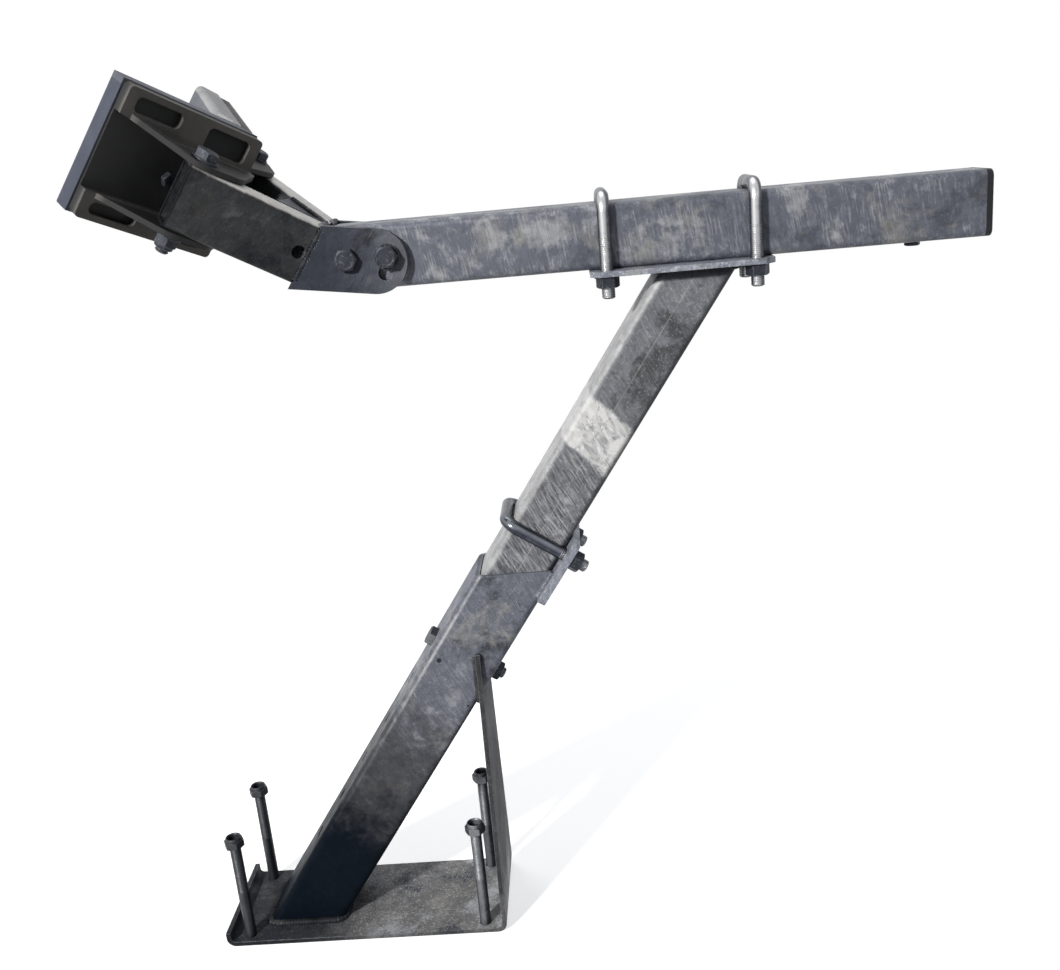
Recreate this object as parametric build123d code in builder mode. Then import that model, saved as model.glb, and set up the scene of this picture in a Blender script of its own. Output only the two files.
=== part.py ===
from build123d import *
import math
import os

# Bow-stop stand for a boat trailer. A slanted telescopic post on a bolted base bracket carries a sliding
# beam, and the tilting fork on the beam's left end holds two swivelling bow pads.
# Millimetres. X runs along the beam to its capped end, Y to the far side, Z up. The origin is on the
# underside of the base plate, in the middle of its bolt pattern.

# Base bracket: one bent plate with a lip on the left and a brace on the right
plate_thickness = 5.0
base_length = 310.0
base_depth = 126.0
lip_height = 16.5
bend_inside_radius = 5.0
brace_height = 319.0
brace_top_width = 80.0
brace_taper_start = 20.0
base_bolt_edge_x = 24.0
base_bolt_edge_y = 12.0

# Square tubes: width, wall and outside corner radius
lower_post_width = 70.0
lower_post_wall = 4.0
lower_post_corner = 8.0
upper_post_width = 60.0
upper_post_wall = 4.0
upper_post_corner = 7.0
beam_width = 60.0
beam_wall = 4.0
beam_corner = 7.0

# Post: slant above the plate, where its axis meets the plate, height of its level top, adjusting holes
post_angle = 55.6
post_foot_x = -72.0
lower_post_top = 403.0
stop_hole_first = 89.0
stop_hole_pitch = 55.0
stop_hole_count = 6
post_rest_gap = 0.5

# Post clamp: plate let into the back of the lower post, with a U-bolt round the upper post
clamp_plate_thickness = 8.0
clamp_plate_edge = 11.5
clamp_plate_below_top = 12.4
clamp_plate_past_bolt = 18.0
clamp_plate_round = 5.0
clamp_bolt_above_top = 42.6
clamp_bolt_past_nut = 7.0

# Top plate under the beam, and the U-bolts over the beam
top_plate_height = 692.0
top_plate_thickness = 5.0
top_plate_edge_x = 16.0
top_plate_edge_y = 12.5
top_plate_chamfer = 9.0
top_plate_offset = -17.4
beam_bolt_spacing = 138.0
beam_bolt_past_nut = 10.0

# Beam
beam_gap = 0.3
beam_right_x = 659.0
beam_nose = 14.0
end_cap_thickness = 6.0
end_cap_round = 1.5
end_cap_plug_length = 18.0
end_cap_plug_wall = 3.0
end_cap_gap = 0.2
stop_screw_x = 601.0
stop_screw_radius = 4.0
stop_screw_flats = 13.0
stop_screw_head = 5.3
stop_screw_length = 16.0

# Fork: flat cheeks beside the beam, splayed tubular arms, gusset; pitch is up from the beam's axis
pivot_x = 72.0
slot_radius = 38.0
slot_half_angle = 16.0
cheek_tilt = 8.0
cheek_height = 60.0
cheek_thickness = 8.0
cheek_round_from_pivot = 27.0
cheek_gap = 0.5
fork_pitch = 35.4
arm_start = 35.0
arm_splay = 30.0
arm_height = 60.0
arm_depth = 30.0
arm_wall = 3.0
arm_corner = 5.0
arm_bend = 31.0
arm_length = 130.0
arm_drop = 15.2
arm_vent_along = 11.0
arm_vent_radius = 6.5
gusset_thickness = 6.0
gusset_end = 83.0
gusset_below_top = 3.0

# Bow pads: moulded carrier with two lugs and a rubber facing; the angles open from the fork's axis
pad_bolt_along = 118.0
near_pad_angle = 50.0
far_pad_angle = 62.5
pad_outer_end = 70.0
pad_inner_end = 71.0
pad_rise = 5.0
carrier_height = 122.0
carrier_offset = 31.0
carrier_thickness = 12.0
carrier_corner = 4.0
channel_depth = 10.0
channel_flare = 10.0
flare_start = 14.0
facing_height = 124.0
facing_thickness = 23.5
facing_overhang = 2.0
facing_bevel = 21.0
facing_round = 8.0
lug_gap = 0.6
lug_thickness = 5.0
lug_reach = 16.0
lug_shoulder = 10.0
lug_heel = 34.0
lug_end = 22.0
lug_round = 20.0
pocket_length = 46.0
pocket_rim = 6.0
pocket_from_lug = 3.0
pocket_round = 5.0
pocket_depth = 7.0
pocket_flare_share = 0.7
pocket_from_bolt = 14.0
pad_screw_inset = 4.0
pad_screw_radius = 4.0
pad_screw_flats = 13.0
pad_screw_head = 5.3
pad_screw_length = 16.0

# Fasteners, M12 apart from the stop screw under the beam
bolt_radius = 6.0
bolt_flats = 19.0
bolt_head_height = 7.5
bolt_past_nut = 4.0
tip_chamfer = 1.2
nut_height = 10.8
lock_nut_height = 12.0
lock_nut_hex_height = 8.5
lock_nut_collar_radius = 8.5
thread_gap = 0.05
clearance_hole_radius = 6.5
pad_hole_radius = 6.25
base_bolt_length = 125.0
base_nut_past_tip = 6.0
washer_radius = 12.0
washer_thickness = 2.5
slide_gap = 0.2
u_bolt_gap = 0.5

# Base bolt pattern
base_bolt_spacing_x = base_length - 2 * base_bolt_edge_x
base_bolt_spacing_y = base_depth - 2 * base_bolt_edge_y

# Post frame: local X across, Y out of the front face, Z up along the post's axis
post_rise = math.sin(math.radians(post_angle))
post_run = math.cos(math.radians(post_angle))
post_along = Vector(post_run, 0, post_rise)
post_front = Vector(-post_rise, 0, post_run)
post_plane = Plane(origin=(post_foot_x, 0, plate_thickness), x_dir=(0, 1, 0), z_dir=post_along)
post_face_plane = Plane(origin=post_plane.origin, x_dir=(0, 1, 0), z_dir=post_front)
lower_post_bore = lower_post_width - 2 * lower_post_wall
lower_post_inside_corner = lower_post_corner - lower_post_wall
upper_post_bore = upper_post_width - 2 * upper_post_wall
upper_post_inside_corner = upper_post_corner - upper_post_wall
lower_post_end = (lower_post_top - plate_thickness) / post_rise
lower_post_length = lower_post_end + lower_post_width
stop_hole_places = [stop_hole_first + stop_hole_pitch * step for step in range(stop_hole_count)]
stop_bolt_along = stop_hole_places[-1]
upper_post_start = stop_bolt_along + bolt_radius + post_rest_gap
upper_post_length = (top_plate_height - plate_thickness) / post_rise + upper_post_width - upper_post_start
clamp_plate_start = lower_post_end - clamp_plate_below_top
clamp_bolt_along = lower_post_end + clamp_bolt_above_top
clamp_plate_length = clamp_plate_below_top + clamp_bolt_above_top + clamp_plate_past_bolt
clamp_face = -lower_post_bore / 2
clamp_back = clamp_face - clamp_plate_thickness
clamp_leg = upper_post_width / 2 + u_bolt_gap + bolt_radius
clamp_plate_width = 2 * (clamp_leg + clamp_plate_edge)

# Beam frame
beam_bottom = top_plate_height + top_plate_thickness + beam_gap
beam_middle = beam_bottom + beam_width / 2
beam_left_x = pivot_x - beam_nose
beam_leg = beam_width / 2 + u_bolt_gap + bolt_radius
top_plate_x = post_foot_x + (top_plate_height - plate_thickness) * post_run / post_rise + top_plate_offset
left_bolt_x = top_plate_x - beam_bolt_spacing / 2
right_bolt_x = top_plate_x + beam_bolt_spacing / 2
top_plate_length = beam_bolt_spacing + 2 * top_plate_edge_x
top_plate_width = 2 * (beam_leg + top_plate_edge_y)
slot_bolt_x = pivot_x + slot_radius
cheek_inner = beam_width / 2 + cheek_gap
cheek_outer = cheek_inner + cheek_thickness
washer_inner = cheek_outer + slide_gap
washer_outer = washer_inner + washer_thickness

# Fork frame: local X out along the fork, Y to the near side, Z up; the origin is the tilt pivot
pitch_sin = math.sin(math.radians(fork_pitch))
pitch_cos = math.cos(math.radians(fork_pitch))
tilt_sin = math.sin(math.radians(cheek_tilt))
tilt_cos = math.cos(math.radians(cheek_tilt))
splay_sin = math.sin(math.radians(arm_splay))
splay_cos = math.cos(math.radians(arm_splay))
fork_along = Vector(-pitch_cos, 0, pitch_sin)
fork_up = Vector(pitch_sin, 0, pitch_cos)
fork_plane = Plane(origin=(pivot_x, 0, beam_middle), x_dir=fork_along, z_dir=fork_up)
arm_cut_plane = Plane(origin=fork_plane.from_local_coords(Vector(arm_start, 0, 0)), z_dir=fork_along)
arm_middle_x = arm_bend + arm_depth / 2 * splay_sin
arm_middle_y = cheek_outer - arm_depth / 2 * splay_cos
arm_inside_x = arm_bend + arm_depth * splay_sin
arm_inside_y = cheek_outer - arm_depth * splay_cos
lug_inner = arm_height / 2 + lug_gap
lug_outer = lug_inner + lug_thickness
carrier_front = carrier_offset + carrier_thickness
channel_floor = carrier_offset + channel_depth
pad_length = pad_outer_end + pad_inner_end
pad_middle = (pad_outer_end - pad_inner_end) / 2
facing_front = carrier_front + facing_thickness
pocket_start = lug_outer + pocket_from_lug
upper_pocket = carrier_height / 2 + pad_rise - pocket_rim - pocket_start
lower_pocket = carrier_height / 2 - pad_rise - pocket_rim - pocket_start
pocket_flare = channel_flare * pocket_flare_share
flared_pocket = upper_pocket - pocket_flare
pocket_middle = pocket_from_bolt + pocket_length / 2
pad_seat = lug_outer + washer_thickness

os.makedirs("parts", exist_ok=True)


def keep(piece, label):
    """Name a finished piece and write its STEP file."""
    piece.part.label = label
    export_step(piece.part, f"parts/{label}.step")


def hex_bolt(label, seat, length, radius=bolt_radius, flats=bolt_flats, head=bolt_head_height):
    """Bolt whose head bears on the seat plane and whose shank runs along the plane's normal."""
    with BuildPart() as bolt:
        with BuildSketch(seat):
            RegularPolygon(flats / 2, 6, major_radius=False)
        extrude(amount=-head)
        with BuildSketch(seat):
            Circle(radius)
        extrude(amount=length)
        tip = bolt.edges().filter_by(GeomType.CIRCLE).sort_by(Axis(seat.origin, seat.z_dir))[-1]
        chamfer(tip, tip_chamfer)
    keep(bolt, label)


def hex_nut(label, seat):
    """Plain nut that stands on the seat plane."""
    with BuildPart() as nut:
        with BuildSketch(seat):
            RegularPolygon(bolt_flats / 2, 6, major_radius=False)
            Circle(bolt_radius + thread_gap, mode=Mode.SUBTRACT)
        extrude(amount=nut_height)
    keep(nut, label)


def lock_nut(label, seat):
    """Self-locking nut that stands on the seat plane, a hexagon with a round collar."""
    with BuildPart() as nut:
        with BuildSketch(seat):
            RegularPolygon(bolt_flats / 2, 6, major_radius=False)
        extrude(amount=lock_nut_hex_height)
        with BuildSketch(seat):
            Circle(lock_nut_collar_radius)
        extrude(amount=lock_nut_height)
        with BuildSketch(seat):
            Circle(bolt_radius + thread_gap)
        extrude(amount=lock_nut_height, mode=Mode.SUBTRACT)
    keep(nut, label)


def washer(label, seat):
    """Flat washer that stands on the seat plane."""
    with BuildPart() as ring:
        with BuildSketch(seat):
            Circle(washer_radius)
            Circle(clearance_hole_radius, mode=Mode.SUBTRACT)
        extrude(amount=washer_thickness)
    keep(ring, label)


def u_bolt(label, plane, leg, corner, leg_end):
    """Square U-bolt round a tube; in the plane X runs across the legs and Y towards the crown."""
    with BuildPart() as rod:
        with BuildLine(plane) as path:
            FilletPolyline(
                (-leg, leg_end),
                (-leg, leg),
                (leg, leg),
                (leg, leg_end),
                radius=corner + u_bolt_gap + bolt_radius,
            )
        with BuildSketch(Plane(origin=path.line @ 0, z_dir=path.line % 0)):
            Circle(bolt_radius)
        sweep(path=path.line)
        tips = rod.edges().filter_by(GeomType.CIRCLE).group_by(Axis(plane.origin, plane.y_dir))[0]
        chamfer(tips, tip_chamfer)
    keep(rod, label)


def post_point(across, front, along):
    """Point in the post's frame."""
    return post_plane.from_local_coords(Vector(across, front, along))


# Base bracket
with BuildPart() as base_bracket:
    bend_line = plate_thickness / 2
    end_x = base_length / 2 - bend_line
    with BuildSketch(Plane.XZ):
        with BuildLine():
            FilletPolyline(
                (-end_x, lip_height),
                (-end_x, bend_line),
                (end_x, bend_line),
                (end_x, brace_height),
                radius=bend_inside_radius + bend_line,
            )
        trace(line_width=plate_thickness)
    extrude(amount=base_depth / 2, both=True)
    brace_inside = base_length / 2 - plate_thickness
    with BuildSketch(Plane.YZ.offset(brace_inside)):
        with BuildLine():
            Polyline(
                (base_depth / 2, brace_taper_start),
                (base_depth / 2, brace_height),
                (brace_top_width / 2, brace_height),
                close=True,
            )
        make_face()
        mirror(about=Plane.YZ)
    extrude(amount=plate_thickness, mode=Mode.SUBTRACT)
    post_back_x = post_foot_x + lower_post_width / 2 / post_rise
    back_rise = post_rise / post_run
    notch_start = plate_thickness + (brace_inside - post_back_x) * back_rise
    notch_end = notch_start + plate_thickness * back_rise
    post_level_depth = lower_post_width / post_run
    with BuildSketch(Plane.XZ):
        with BuildLine():
            Polyline(
                (brace_inside, notch_start),
                (brace_inside + plate_thickness, notch_end),
                (brace_inside + plate_thickness, notch_end + post_level_depth),
                (brace_inside, notch_start + post_level_depth),
                close=True,
            )
        make_face()
    extrude(amount=lower_post_width / 2, both=True, mode=Mode.SUBTRACT)
    with Locations((0, 0, plate_thickness)):
        with GridLocations(base_bolt_spacing_x, base_bolt_spacing_y, 2, 2):
            Hole(clearance_hole_radius, depth=plate_thickness)
keep(base_bracket, "base_bracket")

# Lower post: slanted tube cut level at both ends, holes through front and back, back notched for the clamp
with BuildPart() as lower_post:
    with BuildSketch(post_plane.offset(-lower_post_width)):
        RectangleRounded(lower_post_width, lower_post_width, lower_post_corner)
        RectangleRounded(lower_post_bore, lower_post_bore, lower_post_inside_corner, mode=Mode.SUBTRACT)
    extrude(amount=lower_post_length + lower_post_width)
    split(bisect_by=Plane.XY.offset(plate_thickness), keep=Keep.TOP)
    split(bisect_by=Plane.XY.offset(lower_post_top), keep=Keep.BOTTOM)
    with BuildSketch(post_face_plane):
        with Locations(*[(0, -place) for place in stop_hole_places]):
            Circle(clearance_hole_radius)
    extrude(amount=lower_post_width, both=True, mode=Mode.SUBTRACT)
    with BuildSketch(post_plane.offset(clamp_plate_start)):
        with Locations((0, clamp_face)):
            Rectangle(lower_post_width, lower_post_width, align=(Align.CENTER, Align.MAX))
    extrude(amount=lower_post_length, mode=Mode.SUBTRACT)
keep(lower_post, "lower_post")

# Clamp plate in that notch
with BuildPart() as clamp_plate:
    with BuildSketch(post_plane.offset(clamp_plate_start)):
        with Locations((0, clamp_face)):
            Rectangle(clamp_plate_width, clamp_plate_thickness, align=(Align.CENTER, Align.MAX))
    extrude(amount=clamp_plate_length)
    fillet(clamp_plate.edges().filter_by(Axis(post_plane.origin, post_front)), clamp_plate_round)
    with BuildSketch(post_face_plane.offset(clamp_back)):
        with Locations((-clamp_leg, -clamp_bolt_along), (clamp_leg, -clamp_bolt_along)):
            Circle(clearance_hole_radius)
    extrude(amount=clamp_plate_thickness, mode=Mode.SUBTRACT)
keep(clamp_plate, "clamp_plate")

u_bolt(
    "post_u_bolt",
    post_plane.offset(clamp_bolt_along),
    clamp_leg,
    upper_post_corner,
    clamp_back - nut_height - clamp_bolt_past_nut,
)
for nut, across in (("near_post_nut", -clamp_leg), ("far_post_nut", clamp_leg)):
    hex_nut(nut, Plane(origin=post_point(across, clamp_back, clamp_bolt_along), z_dir=-post_front))

# Cross bolt that the upper post rests on
hex_bolt(
    "stop_bolt",
    Plane(origin=post_point(0, lower_post_width / 2, stop_bolt_along), z_dir=-post_front),
    lower_post_width + nut_height + bolt_past_nut,
)
stop_nut_seat = post_point(0, -lower_post_width / 2, stop_bolt_along)
hex_nut("stop_bolt_nut", Plane(origin=stop_nut_seat, z_dir=-post_front))

# Base bolts with their heads under the plate, lock nuts started on their tips
base_bolt_x = base_bolt_spacing_x / 2
base_bolt_y = base_bolt_spacing_y / 2
base_nut_seat = base_bolt_length + base_nut_past_tip - lock_nut_height
base_corners = {
    "near_left": (-base_bolt_x, -base_bolt_y),
    "near_right": (base_bolt_x, -base_bolt_y),
    "far_left": (-base_bolt_x, base_bolt_y),
    "far_right": (base_bolt_x, base_bolt_y),
}
for corner, (corner_x, corner_y) in base_corners.items():
    hex_bolt(f"{corner}_base_bolt", Plane((corner_x, corner_y, 0)), base_bolt_length)
    lock_nut(f"{corner}_base_nut", Plane((corner_x, corner_y, base_nut_seat)))

# Upper post: square lower end on the cross bolt, level top under the top plate
with BuildPart() as upper_post:
    with BuildSketch(post_plane.offset(upper_post_start)):
        RectangleRounded(upper_post_width, upper_post_width, upper_post_corner)
        RectangleRounded(upper_post_bore, upper_post_bore, upper_post_inside_corner, mode=Mode.SUBTRACT)
    extrude(amount=upper_post_length)
    split(bisect_by=Plane.XY.offset(top_plate_height), keep=Keep.BOTTOM)
keep(upper_post, "upper_post")

# Top plate
with BuildPart() as top_plate:
    with BuildSketch(Plane.XY.offset(top_plate_height)) as top_outline:
        with Locations((top_plate_x, 0)):
            Rectangle(top_plate_length, top_plate_width)
        chamfer(top_outline.vertices(), top_plate_chamfer)
        with Locations((top_plate_x, 0)):
            with GridLocations(beam_bolt_spacing, 2 * beam_leg, 2, 2):
                Circle(clearance_hole_radius, mode=Mode.SUBTRACT)
    extrude(amount=top_plate_thickness)
keep(top_plate, "top_plate")

for side, bolt_x in (("left", left_bolt_x), ("right", right_bolt_x)):
    u_bolt(
        f"{side}_beam_u_bolt",
        Plane(origin=(bolt_x, 0, beam_middle), x_dir=(0, 1, 0), z_dir=(1, 0, 0)),
        beam_leg,
        beam_corner,
        top_plate_height - nut_height - beam_bolt_past_nut - beam_middle,
    )
    hex_nut(f"near_{side}_beam_nut", Plane(origin=(bolt_x, -beam_leg, top_plate_height), z_dir=(0, 0, -1)))
    hex_nut(f"far_{side}_beam_nut", Plane(origin=(bolt_x, beam_leg, top_plate_height), z_dir=(0, 0, -1)))

# Beam tube, cross-drilled for the fork's two bolts and drilled below for the stop screw
with BuildPart() as beam_tube:
    beam_bore = beam_width - 2 * beam_wall
    with BuildSketch(Plane.YZ.offset(beam_left_x)):
        with Locations((0, beam_middle)):
            RectangleRounded(beam_width, beam_width, beam_corner)
            RectangleRounded(beam_bore, beam_bore, beam_corner - beam_wall, mode=Mode.SUBTRACT)
    extrude(amount=beam_right_x - beam_left_x)
    with BuildSketch(Plane.XZ):
        with Locations((pivot_x, beam_middle)):
            Circle(clearance_hole_radius)
        with Locations((slot_bolt_x, beam_middle)):
            Circle(bolt_radius + thread_gap)
    extrude(amount=beam_width, both=True, mode=Mode.SUBTRACT)
    with BuildSketch(Plane.XY.offset(beam_bottom)):
        with Locations((stop_screw_x, 0)):
            Circle(stop_screw_radius + thread_gap)
    extrude(amount=beam_wall, mode=Mode.SUBTRACT)
keep(beam_tube, "beam_tube")

# End cap: flange over the tube's end, hollow plug inside it
with BuildPart() as end_cap:
    plug_width = beam_bore - 2 * end_cap_gap
    plug_hollow = plug_width - 2 * end_cap_plug_wall
    cap_plane = Plane(origin=(beam_right_x, 0, beam_middle), x_dir=(0, 1, 0), z_dir=(1, 0, 0))
    with BuildSketch(cap_plane):
        RectangleRounded(beam_width, beam_width, beam_corner)
    extrude(amount=end_cap_thickness)
    fillet(end_cap.faces().sort_by(Axis.X)[-1].edges(), end_cap_round)
    with BuildSketch(cap_plane):
        RectangleRounded(plug_width, plug_width, beam_corner - beam_wall)
        Rectangle(plug_hollow, plug_hollow, mode=Mode.SUBTRACT)
    extrude(amount=-end_cap_plug_length)
keep(end_cap, "end_cap")

hex_bolt(
    "beam_stop_screw",
    Plane((stop_screw_x, 0, beam_bottom)),
    stop_screw_length,
    radius=stop_screw_radius,
    flats=stop_screw_flats,
    head=stop_screw_head,
)

# Slot bolt, held by the beam, with a washer on each side of the fork
across = (0, 1, 0)
hex_bolt(
    "slot_bolt",
    Plane(origin=(slot_bolt_x, -washer_outer, beam_middle), x_dir=(1, 0, 0), z_dir=across),
    2 * washer_outer + lock_nut_height + bolt_past_nut,
)
washer("near_slot_washer", Plane(origin=(slot_bolt_x, -washer_outer, beam_middle), z_dir=across))
washer("far_slot_washer", Plane(origin=(slot_bolt_x, washer_inner, beam_middle), z_dir=across))
lock_nut("slot_nut", Plane(origin=(slot_bolt_x, washer_outer, beam_middle), x_dir=(1, 0, 0), z_dir=across))

# Pivot bolt, held by the fork
hex_bolt(
    "pivot_bolt",
    Plane(origin=(pivot_x, -cheek_outer, beam_middle), x_dir=(1, 0, 0), z_dir=across),
    2 * cheek_outer + lock_nut_height + bolt_past_nut,
)
lock_nut("pivot_nut", Plane(origin=(pivot_x, cheek_outer, beam_middle), x_dir=(1, 0, 0), z_dir=across))


def cheek(label, far_face_y):
    """Flat bar beside the beam: round end, pivot hole, curved slot, left end cut square to the fork."""
    plane = Plane(
        origin=(pivot_x, far_face_y, beam_middle),
        x_dir=(tilt_cos, 0, -tilt_sin),
        z_dir=(0, -1, 0),
    )
    with BuildPart() as bar:
        with BuildSketch(plane):
            with Locations((cheek_round_from_pivot, 0)):
                Circle(cheek_height / 2)
                Rectangle(
                    cheek_round_from_pivot + arm_start + cheek_height,
                    cheek_height,
                    align=(Align.MAX, Align.CENTER),
                )
            Circle(clearance_hole_radius, mode=Mode.SUBTRACT)
            with BuildLine(mode=Mode.PRIVATE) as slot_line:
                CenterArc((0, 0), slot_radius, -slot_half_angle, 2 * slot_half_angle)
            SlotArc(slot_line.edge(), 2 * clearance_hole_radius, mode=Mode.SUBTRACT)
        extrude(amount=cheek_thickness)
        split(bisect_by=arm_cut_plane, keep=Keep.BOTTOM)
    keep(bar, label)


def arm(label, side):
    """Splayed rectangular tube; side is +1 for the near arm and -1 for the far one."""
    along = fork_along * splay_cos - Vector(0, 1, 0) * side * splay_sin
    outward = -fork_along * splay_sin - Vector(0, 1, 0) * side * splay_cos
    middle = fork_plane.from_local_coords(Vector(arm_middle_x, side * arm_middle_y, -arm_drop))
    with BuildPart() as tube:
        with BuildSketch(Plane(origin=middle - along * arm_depth, x_dir=fork_up, z_dir=along)):
            RectangleRounded(arm_height, arm_depth, arm_corner)
            RectangleRounded(
                arm_height - 2 * arm_wall,
                arm_depth - 2 * arm_wall,
                arm_corner - arm_wall,
                mode=Mode.SUBTRACT,
            )
        extrude(amount=arm_depth + arm_length)
        split(bisect_by=arm_cut_plane, keep=Keep.TOP)
        vent = middle + along * arm_vent_along + outward * (arm_depth / 2)
        with BuildSketch(Plane(origin=vent, z_dir=outward)):
            Circle(arm_vent_radius)
        extrude(amount=-2 * arm_wall, mode=Mode.SUBTRACT)
        with BuildSketch(Plane(origin=middle + along * pad_bolt_along, z_dir=fork_up)):
            Circle(pad_hole_radius)
        extrude(amount=arm_height, both=True, mode=Mode.SUBTRACT)
    keep(tube, label)


cheek("near_cheek", -cheek_inner)
cheek("far_cheek", cheek_outer)
arm("near_arm", 1)
arm("far_arm", -1)

# Gusset between the arms, a little below their tops
with BuildPart() as fork_gusset:
    inside_slope = splay_sin / splay_cos
    gusset_back_y = arm_inside_y + (arm_start - arm_inside_x) * inside_slope
    gusset_front_y = arm_inside_y + (gusset_end - arm_inside_x) * inside_slope
    gusset_top = arm_height / 2 - arm_drop - gusset_below_top
    with BuildSketch(fork_plane.offset(gusset_top)):
        with BuildLine():
            Polyline(
                (arm_start, gusset_back_y),
                (gusset_end, gusset_front_y),
                (gusset_end, -gusset_front_y),
                (arm_start, -gusset_back_y),
                close=True,
            )
        make_face()
    extrude(amount=-gusset_thickness)
keep(fork_gusset, "fork_gusset")


def pad(prefix, side, angle):
    """Carrier, facing and fixings of one bow pad; side is +1 for the near pad and -1 for the far one."""
    bolt_x = arm_middle_x + pad_bolt_along * splay_cos
    bolt_y = side * (arm_middle_y + pad_bolt_along * splay_sin)
    bolt_centre = fork_plane.from_local_coords(Vector(bolt_x, bolt_y, -arm_drop))
    sine = math.sin(math.radians(angle))
    cosine = math.cos(math.radians(angle))
    outward = fork_along * cosine - Vector(0, 1, 0) * side * sine
    forward = fork_along * sine + Vector(0, 1, 0) * side * cosine
    plan = Plane(origin=bolt_centre, x_dir=outward, z_dir=fork_up)
    back_plane = Plane(origin=bolt_centre + forward * carrier_offset, x_dir=outward, z_dir=forward * side)
    floor_plane = back_plane.offset(side * channel_depth)
    front = Axis(bolt_centre, forward)

    # Two lugs that follow the channel's edges, cut to a D in plan and drilled for the bolt
    with BuildPart() as lugs:
        with BuildSketch(floor_plane):
            with BuildLine():
                Polyline(
                    (pad_outer_end, lug_inner + channel_flare),
                    (flare_start, lug_inner),
                    (-pad_inner_end, lug_inner),
                    (-pad_inner_end, lug_outer),
                    (flare_start, lug_outer),
                    (pad_outer_end, lug_outer + channel_flare),
                    close=True,
                )
            make_face()
            with Locations((pad_middle, -lug_inner)):
                Rectangle(pad_length, lug_thickness, align=(Align.CENTER, Align.MAX))
        extrude(amount=-side * (channel_floor + lug_reach))
        with BuildSketch(plan) as lug_plan:
            with BuildLine():
                Polyline(
                    (pad_outer_end, -side * channel_floor),
                    (lug_shoulder, side * lug_reach),
                    (-lug_heel, side * lug_reach),
                    (-pad_inner_end, -side * lug_end),
                    (-pad_inner_end, -side * channel_floor),
                    close=True,
                )
            make_face()
            fillet(lug_plan.vertices().group_by(Axis((0, 0, 0), (0, -side, 0)))[0], lug_round)
            Circle(pad_hole_radius, mode=Mode.SUBTRACT)
        extrude(amount=carrier_height, both=True, mode=Mode.INTERSECT)

    with BuildPart() as carrier:
        with BuildSketch(back_plane):
            with Locations((pad_middle, pad_rise)):
                RectangleRounded(pad_length, carrier_height, carrier_corner)
        extrude(amount=side * carrier_thickness)
        with BuildSketch(back_plane):
            with BuildLine():
                Polyline(
                    (pad_outer_end, -lug_inner),
                    (pad_outer_end, lug_inner + channel_flare),
                    (flare_start, lug_inner),
                    (-pad_inner_end, lug_inner),
                    (-pad_inner_end, -lug_inner),
                    close=True,
                )
            make_face()
        extrude(amount=side * channel_depth, mode=Mode.SUBTRACT)
        with BuildSketch(back_plane):
            with Locations((pocket_middle, pocket_start + pocket_flare + flared_pocket / 2)):
                RectangleRounded(pocket_length, flared_pocket, pocket_round)
            with Locations((-pocket_middle, pocket_start + upper_pocket / 2)):
                RectangleRounded(pocket_length, upper_pocket, pocket_round)
            with Locations((-pocket_middle, -pocket_start - lower_pocket / 2)):
                RectangleRounded(pocket_length, lower_pocket, pocket_round)
            with Locations((pocket_middle, -pocket_start - lower_pocket / 2)):
                RectangleRounded(pocket_length, lower_pocket, pocket_round)
        extrude(amount=side * pocket_depth, mode=Mode.SUBTRACT)
        with BuildSketch(floor_plane):
            with Locations((-pad_screw_inset, 0)):
                Circle(pad_screw_radius + thread_gap)
        extrude(amount=side * carrier_thickness, mode=Mode.SUBTRACT)
        add(lugs.part)
    keep(carrier, f"{prefix}_pad_carrier")

    with BuildPart() as facing:
        with BuildSketch(plan.offset(pad_rise)):
            with BuildLine():
                Polyline(
                    (-pad_inner_end, -side * carrier_front),
                    (pad_outer_end + facing_overhang, -side * carrier_front),
                    (pad_outer_end + facing_overhang, -side * facing_front),
                    (facing_bevel - pad_inner_end, -side * facing_front),
                    close=True,
                )
            make_face()
        extrude(amount=facing_height / 2, both=True)
        fillet(facing.faces().sort_by(front)[-1].edges(), facing_round)
        with BuildSketch(floor_plane):
            with Locations((-pad_screw_inset, 0)):
                Circle(pad_screw_radius + thread_gap)
        extrude(amount=side * (pad_screw_length + thread_gap), mode=Mode.SUBTRACT)
    keep(facing, f"{prefix}_pad_facing")

    washer(f"{prefix}_pad_top_washer", Plane(origin=bolt_centre + fork_up * lug_outer, z_dir=fork_up))
    washer(f"{prefix}_pad_bottom_washer", Plane(origin=bolt_centre - fork_up * lug_outer, z_dir=-fork_up))
    hex_bolt(
        f"{prefix}_pad_bolt",
        Plane(origin=bolt_centre + fork_up * pad_seat, x_dir=outward, z_dir=-fork_up),
        2 * pad_seat + lock_nut_height + bolt_past_nut,
    )
    nut_plane = Plane(origin=bolt_centre - fork_up * pad_seat, x_dir=outward, z_dir=-fork_up)
    lock_nut(f"{prefix}_pad_nut", nut_plane)
    screw_seat = floor_plane.from_local_coords(Vector(-pad_screw_inset, 0, 0))
    hex_bolt(
        f"{prefix}_pad_screw",
        Plane(origin=screw_seat, x_dir=outward, z_dir=forward),
        pad_screw_length,
        radius=pad_screw_radius,
        flats=pad_screw_flats,
        head=pad_screw_head,
    )


pad("near", 1, near_pad_angle)
pad("far", -1, far_pad_angle)
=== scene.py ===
"""Looks of a boat trailer's bow-stop stand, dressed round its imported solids."""

import logging
import math
from dataclasses import dataclass, field
from enum import Enum
from typing import Callable, Sequence

import bpy
from mathutils import Matrix, Quaternion, Vector


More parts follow.
